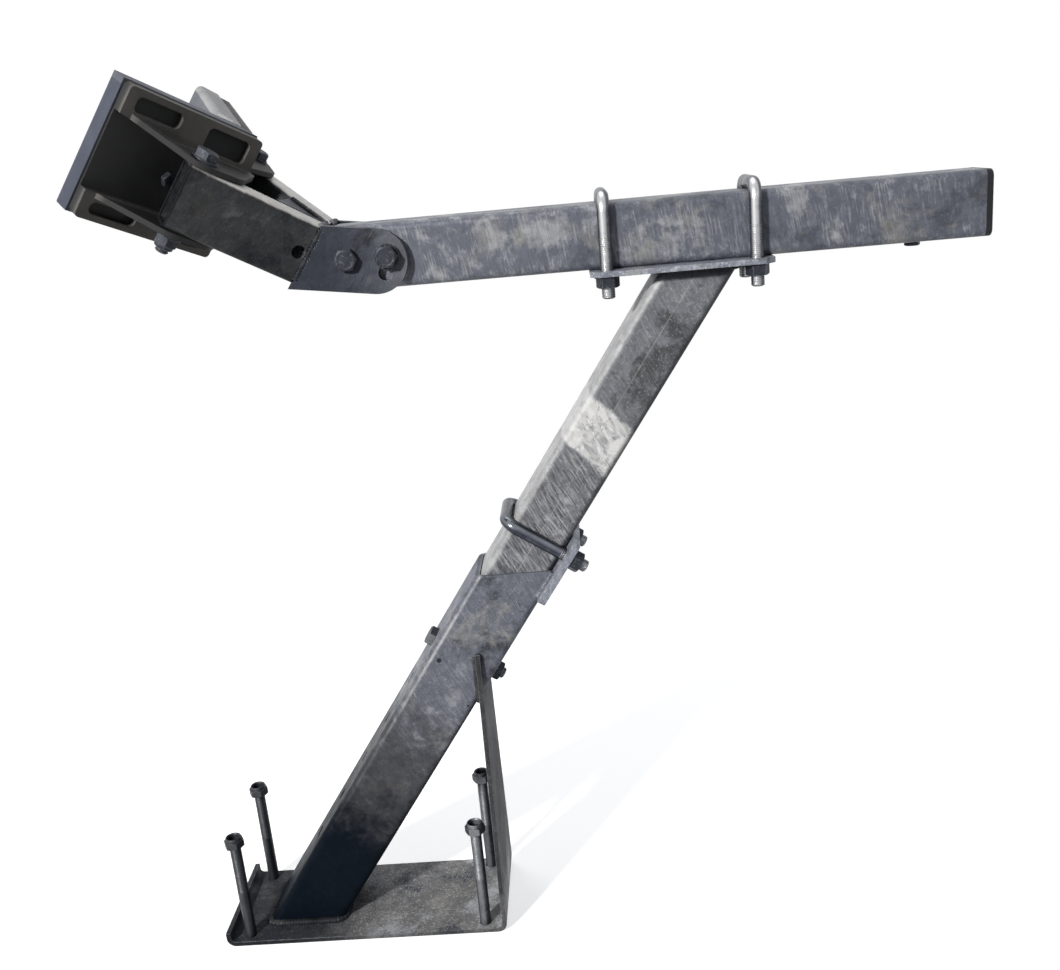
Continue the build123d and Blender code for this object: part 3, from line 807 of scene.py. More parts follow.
@dataclass(frozen=True)
class Hexagon:
    """Hexagon across flats with chamfered ends, as rings for a lathe, in millimetres."""

    flats: float
    low: float
    high: float
    crown_share: float = 0.475
    slope: float = math.tan(math.radians(30.0))

    @property
    def crown(self) -> float:
        """Radius of the flat circle on the chamfered end."""
        return self.flats * self.crown_share

    def reach(self, angle: float) -> float:
        """Radius of the hexagon at an angle, with a corner at angle 0."""
        sixth = math.pi / 3
        return self.flats / 2 / math.cos(angle % sixth - sixth / 2)

    def fall(self, angle: float) -> float:
        """Depth of the chamfer at an angle."""
        return max(0.0, self.reach(angle) - self.crown) * self.slope

    def rings(self, chamfer_low: bool, chamfer_high: bool) -> list[Ring]:
        """Rings from the low end to the high end.

        Args:
            chamfer_low: Whether the low end is chamfered.
            chamfer_high: Whether the high end is chamfered.

        Returns:
            The rings.
        """
        low_cut = 1.0 if chamfer_low else 0.0
        high_cut = 1.0 if chamfer_high else 0.0
        return [
            round_ring(self.crown, self.low),
            lambda angle: (self.reach(angle), self.low + low_cut * self.fall(angle)),
            lambda angle: (self.reach(angle), self.high - high_cut * self.fall(angle)),
            round_ring(self.crown, self.high),
        ]


def thread_rings(radius: float, start: float, end: float, pitch: float, depth: float) -> list[Ring]:
    """Rings of a threaded stretch.

    Args:
        radius: Outside radius in millimetres.
        start: Height of its start.
        end: Height of its end.
        pitch: Distance between ridges.
        depth: Depth of the grooves.

    Returns:
        The rings.
    """
    root, crest = 0.25, 0.75
    step = math.copysign(pitch, end - start)
    rings = []
    for index in range(int(abs(end - start) / pitch)):
        here = start + step * index
        rings.append(round_ring(radius - depth, here + step * root))
        rings.append(round_ring(radius, here + step * crest))
    return rings


def lathe(name: str, rings: Sequence[Ring], closed: bool, steps: int = 48) -> bpy.types.Object:
    """Turn rings into a closed mesh about the Z axis.

    Args:
        name: Name of the object.
        rings: Rings in order, each giving radius and height at an angle, in millimetres.
        closed: Whether the last ring joins the first, as in a nut; otherwise both ends are capped.
        steps: Points round a ring, a multiple of six.

    Returns:
        The new object.
    """
    points = []
    for ring in rings:
        for step in range(steps):
            angle = math.tau * step / steps
            radius, height = ring(angle)
            points.append((radius * math.cos(angle) * MM, radius * math.sin(angle) * MM, height * MM))
    faces = []
    count = len(rings)
    for row in range(count if closed else count - 1):
        here, there = row * steps, (row + 1) % count * steps
        for step in range(steps):
            after = (step + 1) % steps
            faces.append((here + step, here + after, there + after, there + step))
    if not closed:
        faces.append(tuple(reversed(range(steps))))
        faces.append(tuple(range((count - 1) * steps, count * steps)))
    mesh = bpy.data.meshes.new(name)
    mesh.from_pydata(points, [], faces)
    mesh.update()
    return add_object(name, mesh)


@dataclass(frozen=True)
class Seat:
    """Place of a fastener: its seat and the directions of its shank and of a hexagon corner."""

    point: Vector
    axis: Vector
    corner: Vector

    @property
    def turn(self) -> Quaternion:
        """Turn from the fastener's own frame into the stand's frame.

        Returns:
            The turn.
        """
        axis = self.axis.normalized()
        corner = (self.corner - axis * self.corner.dot(axis)).normalized()
        return Matrix((corner, axis.cross(corner), axis)).transposed().to_quaternion()


def seat_points(name: str, seats: Sequence[Seat]) -> bpy.types.Mesh:
    """Mesh with one turned point for each seat.

    Args:
        name: Name of the mesh.
        seats: Seats in millimetres.

    Returns:
        The mesh, with the attribute turn.
    """
    mesh = bpy.data.meshes.new(name)
    mesh.from_pydata([tuple(seat.point * MM) for seat in seats], [], [])
    turns = mesh.attributes.new("turn", "QUATERNION", "POINT")
    for item, seat in zip(turns.data, seats):
        item.value = seat.turn
    return mesh


class Fitting:
    """Fastener that is turned once and set out on its seats."""

    def rings(self) -> tuple[list[Ring], bool]:
        """Rings of the fastener and whether they close on themselves."""
        raise NotImplementedError

    def set_out(self, name: str, seats: Sequence[Seat], tree: Shape, finish: bpy.types.Material) -> bpy.types.Object:
        """Make one piece of all the fasteners on some seats.

        Args:
            name: Name of the piece.
            seats: Where they sit.
            tree: Tree that sets them out.
            finish: Their material.

        Returns:
            The piece.
        """
        rings, closed = self.rings()
        pattern = lathe(name + "_pattern", rings, closed)
        piece = tree.make(name, seat_points(name, seats), {"Fastener": pattern, "Finish": finish})
        bpy.data.objects.remove(pattern)
        shade_by_angle(piece)
        return piece


@dataclass(frozen=True)
class HexBolt(Fitting):
    """Hexagon bolt: head under the seat, shank along +Z, threaded towards its tip, in millimetres."""

    length: float
    thread: float
    radius: float = 6.0
    flats: float = 19.0
    head: float = 7.5
    pitch: float = 1.75
    tip: float = 1.2
    groove: float = 0.7

    def rings(self) -> tuple[list[Ring], bool]:
        """Rings from the head's top to the tip.

        Returns:
            The rings, and whether the last joins the first.
        """
        hexagon = Hexagon(self.flats, -self.head, 0.0)
        washer_face, dish = 0.3, 0.6
        floor, rim = hexagon.crown * 0.76, hexagon.crown * 0.86
        body = [round_ring(floor, dish - self.head), round_ring(rim, -self.head)]
        body += hexagon.rings(True, False)[:-1]
        body += [round_ring(hexagon.crown, -washer_face), round_ring(hexagon.crown, 0.0)]
        body += [round_ring(self.radius, 0.0), round_ring(self.radius, self.length - self.thread - self.tip)]
        body += thread_rings(self.radius, self.length - self.thread - self.tip, self.length - self.tip,
                             self.pitch, self.groove)
        body += [round_ring(self.radius, self.length - self.tip), round_ring(self.radius - self.tip, self.length)]
        return body, False


def small_screw(thread: float) -> HexBolt:
    """Short M8 screw with a given length of thread."""
    return HexBolt(16.0, thread, radius=4.0, flats=13.0, head=5.3, pitch=1.25, tip=0.8, groove=0.5)


@dataclass(frozen=True)
class HexNut(Fitting):
    """Plain hexagon nut that stands on its seat, in millimetres."""

    flats: float = 19.0
    height: float = 10.8
    bore: float = 6.05

    def rings(self) -> tuple[list[Ring], bool]:
        """Rings round the nut and back through its bore.

        Returns:
            The rings, and whether the last joins the first.
        """
        sink = 0.8
        body = [round_ring(self.bore + sink, 0.0)]
        body += Hexagon(self.flats, 0.0, self.height).rings(True, True)
        body += [round_ring(self.bore + sink, self.height), round_ring(self.bore, self.height - sink)]
        body += [round_ring(self.bore, sink)]
        return body, True


@dataclass(frozen=True)
class LockNut(Fitting):
    """Self-locking nut: hexagon with a rolled collar round a nylon ring, in millimetres."""

    flats: float = 19.0
    hexagon: float = 8.5
    height: float = 12.0
    collar: float = 8.5
    bore: float = 6.05

    def rings(self) -> tuple[list[Ring], bool]:
        """Rings round the nut, over its collar and back through its bore.

        Returns:
            The rings, and whether the last joins the first.
        """
        sink, seam = 0.7, 0.2
        rolled_edge = ((0.0, 1.3), (0.35, 0.5), (1.1, 0.0))
        nylon_ring = ((0.9, 0.5), (0.2, 1.3), (0.0, 2.0))
        body = [round_ring(self.bore + sink, 0.0)]
        body += Hexagon(self.flats, 0.0, self.hexagon).rings(True, True)
        body += [round_ring(self.collar, self.hexagon + seam)]
        body += [round_ring(self.collar - inset, self.height - depth) for inset, depth in rolled_edge]
        body += [round_ring(self.bore + outset, self.height - depth) for outset, depth in nylon_ring]
        body += [round_ring(self.bore, sink)]
        return body, True


def shade_by_angle(piece: bpy.types.Object, limit: float = 32.0) -> None:
    """Shade a mesh smooth apart from its sharper edges.

    Args:
        piece: Mesh object.
        limit: Angle in degrees above which an edge stays sharp.
    """
    mesh = piece.data
    mesh.shade_smooth()
    mesh.set_sharp_from_angle(angle=math.radians(limit))


def path_curve(name: str, points: Sequence[Vector], closed: bool = False) -> bpy.types.Curve:
    """Curve of straight runs through points.

    Args:
        name: Name of the curve.
        points: Points in millimetres.
        closed: Whether the last point joins the first.

    Returns:
        The curve.
    """
    curve = bpy.data.curves.new(name, "CURVE")
    curve.dimensions = "3D"
    spline = curve.splines.new("POLY")
    spline.points.add(len(points) - 1)
    for item, point in zip(spline.points, points):
        item.co = (*(point * MM), 1.0)
    spline.use_cyclic_u = closed
    return curve


@dataclass
class Workshop:
    """Node trees and materials that every sub-assembly uses."""

    fasteners: Shape
    threads: Shape
    beads: Shape
    materials: dict[str, bpy.types.Material] = field(default_factory=dict)

    def material(self, finish: Finish) -> bpy.types.Material:
        """Material of a finish, written when it is first used.

        Args:
            finish: The finish.

        Returns:
            The material.
        """
        if finish.name not in self.materials:
            self.materials[finish.name] = finish.build()
        return self.materials[finish.name]

    def dress(self, finish: Finish, *nodes: str) -> None:
        """Give CAD nodes a finish.

        Args:
            finish: The finish.
            nodes: Names of the nodes.
        """
        for node in nodes:
            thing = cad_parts[node]
            if not thing.material_slots:
                thing.data.materials.append(None)
            for slot in thing.material_slots:
                slot.material = self.material(finish)
            LOG.info("dressed %s in %s", node, finish.name)

    def keep(self, piece: bpy.types.Object, body: str, replaced: Sequence[str] = ()) -> None:
        """Tie a finished piece to its body.

        Args:
            piece: The piece.
            body: CAD body that it rides on.
            replaced: CAD nodes that it stands for.
        """
        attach(piece, body)
        if replaced:
            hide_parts(*replaced)
        LOG.info("made %s on %s with %d faces", piece.name, body, len(piece.data.polygons))

    def fit(self, name: str, body: str, kind: Fitting, seats: dict[str, Seat], finish: Finish = DULL_PLATING) -> None:
        """Set fasteners out in place of the CAD nodes that name their seats."""
        piece = kind.set_out(name, list(seats.values()), self.fasteners, self.material(finish))
        self.keep(piece, body, list(seats))

    def wind(self, name: str, body: str, seats: Sequence[Seat], length: float, radius: float = 5.95,
             pitch: float = 1.75, ridge: float = 0.45) -> None:
        """Wind threads on plain rods.

        Args:
            name: Name of the piece.
            body: CAD body that it rides on.
            seats: Starts of the threads.
            length: Length of each thread in millimetres.
            radius: Radius at the middle of the ridge.
            pitch: Pitch of the thread.
            ridge: Radius of the ridge's own section.
        """
        sizes = {"Radius": radius * MM, "Pitch": pitch * MM, "Turns": length / pitch, "Ridge": ridge * MM,
                 "Finish": self.material(PLATING)}
        piece = self.threads.make(name, seat_points(name, seats), sizes)
        piece.data.shade_smooth()
        self.keep(piece, body)

    def weld(self, name: str, body: str, points: Sequence[Vector], width: float, seed: float,
             closed: bool = False, ripple: float = 3.2, finish: Finish = WELD) -> None:
        """Lay a weld bead.

        Args:
            name: Name of the piece.
            body: CAD body that it rides on.
            points: Points that the bead follows, in millimetres.
            width: Width of the bead.
            seed: Seed of its unevenness.
            closed: Whether it runs all the way round.
            ripple: Distance between ripples.
            finish: Its finish.
        """
        sizes = {"Width": width * MM, "Ripple": ripple * MM, "Seed": seed, "Finish": self.material(finish)}
        piece = self.beads.make(name, path_curve(name, points, closed), sizes)
        piece.data.shade_smooth()
        self.keep(piece, body)


X = Vector((1, 0, 0))
Y = Vector((0, 1, 0))
Z = Vector((0, 0, 1))
DEPTHS = (("near", -1), ("far", 1))
HANDS = (("left", -1), ("right", 1))


class Bead(Enum):
    """Seeds of the weld beads; the two of a pair take the numbers on either side of theirs."""

    FOOT = 1.0
    BRACE = 4.0
    CLAMP = 7.0
    TOP_PLATE = 11.0
    CHEEK = 20.0
    GUSSET = 24.0
    KNUCKLE = 28.0


class SubAssembly:
    """Group of the stand's pieces that ride on one body."""

    def dress(self) -> None:
        """Give the group's CAD nodes their finishes."""
        raise NotImplementedError

    def fasten(self) -> None:
        """Set out the group's fasteners."""
        raise NotImplementedError

    def weld(self) -> None:
        """Lay the group's welds, if it has any."""

    def build(self) -> None:
        """Dress, fasten and weld the group."""
        self.dress()
        self.fasten()
        self.weld()


def rounded_square(half_x: float, half_y: float, radius_x: float, radius_y: float,
                   steps: int = 6) -> list[tuple[float, float]]:
    """Outline of a rectangle with elliptic corners.

    Args:
        half_x: Half of its length.
        half_y: Half of its width.
        radius_x: Corner radius along X.
        radius_y: Corner radius along Y.
        steps: Points in a corner, less one.

    Returns:
        Points in order.
    """
    outline = []
    for quarter, (sign_x, sign_y) in enumerate(((1, 1), (-1, 1), (-1, -1), (1, -1))):
        for step in range(steps + 1):
            angle = math.pi / 2 * (quarter + step / steps)
            outline.append((
                sign_x * (half_x - radius_x) + radius_x * math.cos(angle),
                sign_y * (half_y - radius_y) + radius_y * math.sin(angle),
            ))
    return outline


@dataclass
class PostFrame:
    """Frame of the slanted post, in millimetres and degrees."""

    angle: float = 55.6
    foot_x: float = -72.0
    foot_z: float = 5.0

    @property
    def along(self) -> Vector:
        """Direction up the post."""
        return Vector((math.cos(math.radians(self.angle)), 0, math.sin(math.radians(self.angle))))

    @property
    def front(self) -> Vector:
        """Direction out of the post's front face."""
        return Vector((-math.sin(math.radians(self.angle)), 0, math.cos(math.radians(self.angle))))

    @property
    def foot(self) -> Vector:
        """Start of the post's axis."""
        return Vector((self.foot_x, 0, self.foot_z))

    def point(self, across: float, front: float, along: float) -> Vector:
        """Point at distances to the far side, out towards the front face and up the post's axis."""
        return self.foot + Y * across + self.front * front + self.along * along

    def level_outline(self, half: float, corner: float, height: float, grow: float) -> list[Vector]:
        """Outline of the post where a level plane cuts it.

        Args:
            half: Half of the tube's width.
            corner: Its corner radius.
            height: Height of the plane.
            grow: Distance that the outline stands outside the tube.

        Returns:
            Points in order.
        """
        rise = math.sin(math.radians(self.angle))
        middle = self.foot_x + (height - self.foot_z) / math.tan(math.radians(self.angle))
        outline = rounded_square(half / rise + grow, half + grow, corner / rise + grow, corner + grow)
        return [Vector((middle + x, y, height)) for x, y in outline]


@dataclass
class BaseStand(SubAssembly):
    """Base bracket, lower post, post clamp and base bolts."""

    shop: Workshop
    post: PostFrame
    plate_top: float = 5.0
    plate_half: float = 63.0
    bolt_x: float = 131.0
    bolt_y: float = 51.0
    bolt_length: float = 125.0
    bolt_thread: float = 62.0
    nut_seat: float = 119.0
    post_half: float = 35.0
    post_corner: float = 8.0
    stop_along: float = 364.0
    clamp_leg: float = 36.5
    clamp_back: float = -39.0
    clamp_face: float = -31.0
    clamp_along: float = 525.0
    clamp_start: float = 470.0
    nut_height: float = 10.8
    stop_past_nut: float = 4.0
    stop_thread: float = 30.0
    tip_past_nut: float = 7.0
    tip_chamfer: float = 1.0
    clamp_thread: float = 30.0
    brace_inside: float = 150.0
    brace_top: float = 319.0
    notch_start: float = 267.5
    foot_bead: float = 9.0
    foot_bead_out: float = 0.3
    brace_bead: float = 6.0
    brace_bead_end: float = 4.0
    clamp_bead: float = 7.0
    clamp_bead_length: float = 30.0
    clamp_bead_out: float = 0.6
    bead_start: float = 3.0
    bead_out: float = 0.8

    def dress(self) -> None:
        """Give the CAD nodes of the base their finishes."""
        self.shop.dress(self.bracket_finish(), "base_bracket")
        self.shop.dress(self.post_finish(), "lower_post")
        self.shop.dress(PLATE_ZINC, "clamp_plate")
        self.shop.dress(DARK_PLATING, "post_u_bolt")

    def bracket_finish(self) -> ZincFinish:
        """Zinc of the bracket, with a painted shadow of the post to its left, painted shade up the brace, and dark
        along the plate's near edge.

        Returns:
            The finish.
        """
        # Painted shadow of the post on the plate, to the left of its foot.
        left = Fade(LEFT, -15.0, 60.0, 0.85, (0.010, 0.012, 0.016), ragged=120.0)
        # Painted shade up the brace.
        brace = Fade(UPWARD, 15.0, 60.0, 0.9, (0.020, 0.021, 0.024), ragged=60.0, patchy=0.2)
        edge = Fade(NEARER, self.plate_half - 1.5, self.plate_half - 0.2, 0.5, (0.008, 0.010, 0.013), ragged=1.0)
        return ZincFinish("bracket_zinc", Strokes(20.0, 3.0, 14.0, pale=0.2, dark=0.2), tone=1.15, mottle=12.0,
                          blotches=0.3, specks=0.6, wear=0.9, gloss=0.06, rough=0.55, fades=(left, brace, edge),
                          middle=(0.150, 0.150, 0.152))

    def post_finish(self) -> ZincFinish:
        """Zinc of the lower post, with a painted highlight along its front corners, two spots, and painted shade and
        then a painted shadow towards its foot.

        Returns:
            The finish.
        """
        up = tuple(self.post.along)
        foot = self.post.along.dot(self.post.foot)
        face = self.post.front.dot(self.post.foot) + self.post_half
        # Painted highlight along the rounded front corners.
        corner = Line(tuple(self.post.front), face - 4.5, 1.2, 0.6, (0.520, 0.525, 0.540))
        spots = (Stain(111.9, -self.post_half, 314.0, 2.2, 0.85), Stain(136.5, -self.post_half, 259.8, 1.0, 0.8))
        # Painted shade, and lower down a painted shadow, towards the foot.
        foot_shade = Fade(up, foot + 350.0, foot + 220.0, 0.82, (0.046, 0.046, 0.049), ragged=200.0)
        painted_shadow = Fade(up, foot + 225.0, foot + 110.0, 0.96, (0.002, 0.005, 0.010), ragged=170.0)
        return ZincFinish("lower_post_zinc", Strokes(-27.0, 2.2, 20.0, pale=0.3, dark=0.2), blotches=0.55, gloss=0.03,
                          lines=(corner,), fades=(foot_shade, painted_shadow), stains=spots)

    def fasten(self) -> None:
        """Set out the base's bolts and nuts and wind the U-bolt's threads."""
        corners = {
            f"{side}_{hand}": Vector((across * self.bolt_x, depth * self.bolt_y, 0))
            for side, depth in DEPTHS
            for hand, across in HANDS
        }
        bolts = {f"{name}_base_bolt": Seat(point, Z, X) for name, point in corners.items()}
        nuts = {f"{name}_base_nut": Seat(point + Z * self.nut_seat, Z, X) for name, point in corners.items()}
        self.shop.fit("base_bolts", "base", HexBolt(self.bolt_length, self.bolt_thread), bolts, BASE_PLATING)
        self.shop.fit("base_lock_nuts", "base", LockNut(), nuts, BASE_PLATING)
        back = -self.post.front
        stop_bolt = HexBolt(2 * self.post_half + self.nut_height + self.stop_past_nut, self.stop_thread)
        stop = Seat(self.post.point(0, self.post_half, self.stop_along), back, self.post.along)
        self.shop.fit("post_stop_bolt", "base", stop_bolt, {"stop_bolt": stop}, BASE_PLATING)
        nuts = {"stop_bolt_nut": Seat(self.post.point(0, -self.post_half, self.stop_along), back, self.post.along)}
        for name, across in DEPTHS:
            spot = self.post.point(across * self.clamp_leg, self.clamp_back, self.clamp_along)
            nuts[f"{name}_post_nut"] = Seat(spot, back, self.post.along)
        self.shop.fit("post_clamp_nuts", "base", HexNut(), nuts)
        end = self.clamp_back - self.nut_height - self.tip_past_nut + self.tip_chamfer
        starts = [
            Seat(self.post.point(across * self.clamp_leg, end, self.clamp_along), self.post.front, self.post.along)
            for _, across in DEPTHS
        ]
        self.shop.wind("post_u_bolt_threads", "base", starts, self.clamp_thread)

    def weld(self) -> None:
        """Lay the welds of the post's foot, the brace and the clamp plate."""
        level = self.plate_top + self.foot_bead_out
        foot = self.post.level_outline(self.post_half, self.post_corner, level, self.foot_bead_out)
        self.shop.weld("post_foot_weld", "base", foot, self.foot_bead, Bead.FOOT.value, closed=True,
                       finish=FOOT_WELD)
        for name, side in DEPTHS:
            edge = side * (self.post_half + self.bead_out)
            brace = [
                Vector((self.brace_inside - self.bead_out, edge, height))
                for height in (self.notch_start - self.bead_start, self.brace_top - self.brace_bead_end)
            ]
            self.shop.weld(f"{name}_brace_weld", "base", brace, self.brace_bead, Bead.BRACE.value + side)
            start = self.clamp_start + self.bead_start
            clamp = [
                self.post.point(edge + side * self.clamp_bead_out, self.clamp_face + self.bead_out, along)
                for along in (start, start + self.clamp_bead_length)
            ]
            self.shop.weld(f"{name}_clamp_weld", "base", clamp, self.clamp_bead, Bead.CLAMP.value + side,
                           finish=WELD_TOE)


@dataclass
class Mast(SubAssembly):
    """Upper post with its top plate and the U-bolts that hold the beam."""

    shop: Workshop
    post: PostFrame
    plate_height: float = 692.0
    post_half: float = 30.0
    post_corner: float = 7.0
    plate_x: float = 381.0
    bolt_spacing: float = 138.0
    leg: float = 36.5
    nut_height: float = 10.8
    tip_past_nut: float = 10.0
    tip_chamfer: float = 1.0
    thread: float = 56.0
    bead: float = 6.5
    bead_below: float = 1.2
    bead_out: float = 1.2

    def dress(self) -> None:
        """Give the CAD nodes of the mast their finishes."""
        self.shop.dress(self.post_finish(), "upper_post")
        self.shop.dress(PLATE_ZINC, "top_plate")
        self.shop.dress(PLATING, *(f"{hand}_beam_u_bolt" for hand, _ in HANDS))

    def post_finish(self) -> ZincFinish:
        """Zinc of the upper post: a bright band, drawing lines, a painted highlight over the front, painted shade
        over the back and a painted shadow under the plate.

        Returns:
            The finish.
        """
        front = tuple(self.post.front)
        middle = self.post.front.dot(self.post.foot)
        band = Splash((0.722, 0.0, 0.692), 558.0, 609.0)
        seam = Line(front, middle, 0.5, 0.25, (0.620, 0.620, 0.620))
        scribe = Line(FARTHER, -17.0, 1.2, 0.7, (0.090, 0.092, 0.100))
        face = self.post_half + middle
        # Painted highlight over the front.
        shine_and_highlight = Fade(front, face - 9.0, face - 3.0, 0.85, (0.455, 0.458, 0.465), ragged=5.0, patchy=0.35)
        face = self.post_half - middle
        # Painted shade over the back.
        shade = Fade(tuple(-self.post.front), face - 7.0, face - 1.5, 0.75, (0.030, 0.032, 0.037), ragged=3.0)
        # Painted shadow of the top plate.
        painted_shadow = Fade(UPWARD, self.plate_height - 11.0, self.plate_height - 6.0, 0.85, (0.020, 0.024, 0.034),
                    ragged=6.0)
        return ZincFinish("upper_post_zinc", Strokes(-27.0, 1.8, 17.0, pale=0.75, dark=1.0, cover=0.62), blotches=0.2,
                          gloss=0.20, rough=0.46, splash=band, lines=(seam, scribe), fades=(shine_and_highlight, shade, painted_shadow),
                          deep=(0.062, 0.064, 0.071), middle=(0.164, 0.171, 0.192), pale=(0.390, 0.396, 0.408),
                          bright=(0.720, 0.720, 0.722))

    def fasten(self) -> None:
        """Set out the nuts under the plate and wind the U-bolts' threads."""
        nuts = {}
        threads = []
        for hand, way in HANDS:
            for side, depth in DEPTHS:
                spot = Vector((self.plate_x + way * self.bolt_spacing / 2, depth * self.leg, self.plate_height))
                nuts[f"{side}_{hand}_beam_nut"] = Seat(spot, -Z, X)
                tip = spot - Z * (self.nut_height + self.tip_past_nut - self.tip_chamfer)
                threads.append(Seat(tip, Z, X))
        self.shop.fit("beam_clamp_nuts", "mast", HexNut(), nuts)
        self.shop.wind("beam_u_bolt_threads", "mast", threads, self.thread)

    def weld(self) -> None:
        """Lay the weld between the upper post and the top plate."""
        level = self.plate_height - self.bead_below
        ring = self.post.level_outline(self.post_half, self.post_corner, level, self.bead_out)
        self.shop.weld("top_plate_weld", "mast", ring, self.bead, Bead.TOP_PLATE.value, closed=True,
                       finish=FOOT_WELD)


@dataclass
class Beam(SubAssembly):
    """Sliding beam with its end cap, stop screw and slot bolt."""

    shop: Workshop
    middle: float = 727.3
    bottom: float = 697.3
    slot_x: float = 110.0
    washer_outer: float = 41.2
    bolt_past_washers: float = 16.0
    bolt_thread: float = 30.0
    screw_x: float = 601.0
    screw_thread: float = 12.0

    def dress(self) -> None:
        """Give the CAD nodes of the beam their finishes."""
        zinc = ZincFinish("beam_zinc", Strokes(-9.0, 1.8, 20.0, pale=0.55, dark=0.3), tone=0.80, mottle=14.0,
                          blotches=0.62, specks=0.1, deep=(0.080, 0.089, 0.112), middle=(0.138, 0.151, 0.188),
                          pale=(0.385, 0.398, 0.425))
        self.shop.dress(zinc, "beam_tube")
        self.shop.dress(CAP_PLASTIC, "end_cap")
        self.shop.dress(DULL_PLATING, *(f"{side}_slot_washer" for side, _ in DEPTHS))

    def fasten(self) -> None:
        """Set out the slot bolt, its nut and the stop screw."""
        head = Seat(Vector((self.slot_x, -self.washer_outer, self.middle)), Y, X)
        bolt = HexBolt(2 * self.washer_outer + self.bolt_past_washers, self.bolt_thread)
        self.shop.fit("fork_slot_bolt", "beam", bolt, {"slot_bolt": head})
        nut = Seat(Vector((self.slot_x, self.washer_outer, self.middle)), Y, X)
        self.shop.fit("fork_slot_nut", "beam", LockNut(), {"slot_nut": nut})
        seat = Seat(Vector((self.screw_x, 0, self.bottom)), Z, X)
        self.shop.fit("beam_end_screw", "beam", small_screw(self.screw_thread), {"beam_stop_screw": seat})


@dataclass
class ForkFrame:
    """Frame of the fork at rest, in millimetres and degrees."""

    pitch: float = 35.4
    splay: float = 30.0
    pivot_x: float = 72.0
    pivot_z: float = 727.3

    @property
    def along(self) -> Vector:
        """Direction out along the fork."""
        return Vector((-math.cos(math.radians(self.pitch)), 0, math.sin(math.radians(self.pitch))))

    @property
    def up(self) -> Vector:
        """Direction square to the fork's plane, the pads' swivel axis."""
        return Vector((math.sin(math.radians(self.pitch)), 0, math.cos(math.radians(self.pitch))))

    @property
    def pivot(self) -> Vector:
        """Middle of the pivot bolt."""
        return Vector((self.pivot_x, 0, self.pivot_z))

    def point(self, along: float, near: float, up: float) -> Vector:
        """Point at distances out along the fork from the pivot, to the near side and up from the fork's plane."""
        return self.pivot + self.along * along - Y * near + self.up * up


@dataclass(frozen=True)
class JointRun:
    """Run of weld down the joint between a cheek and its arm, in millimetres; swing makes it zigzag."""

    finish: ZincFinish
    start: float
    out: float
    width: float
    swing: float


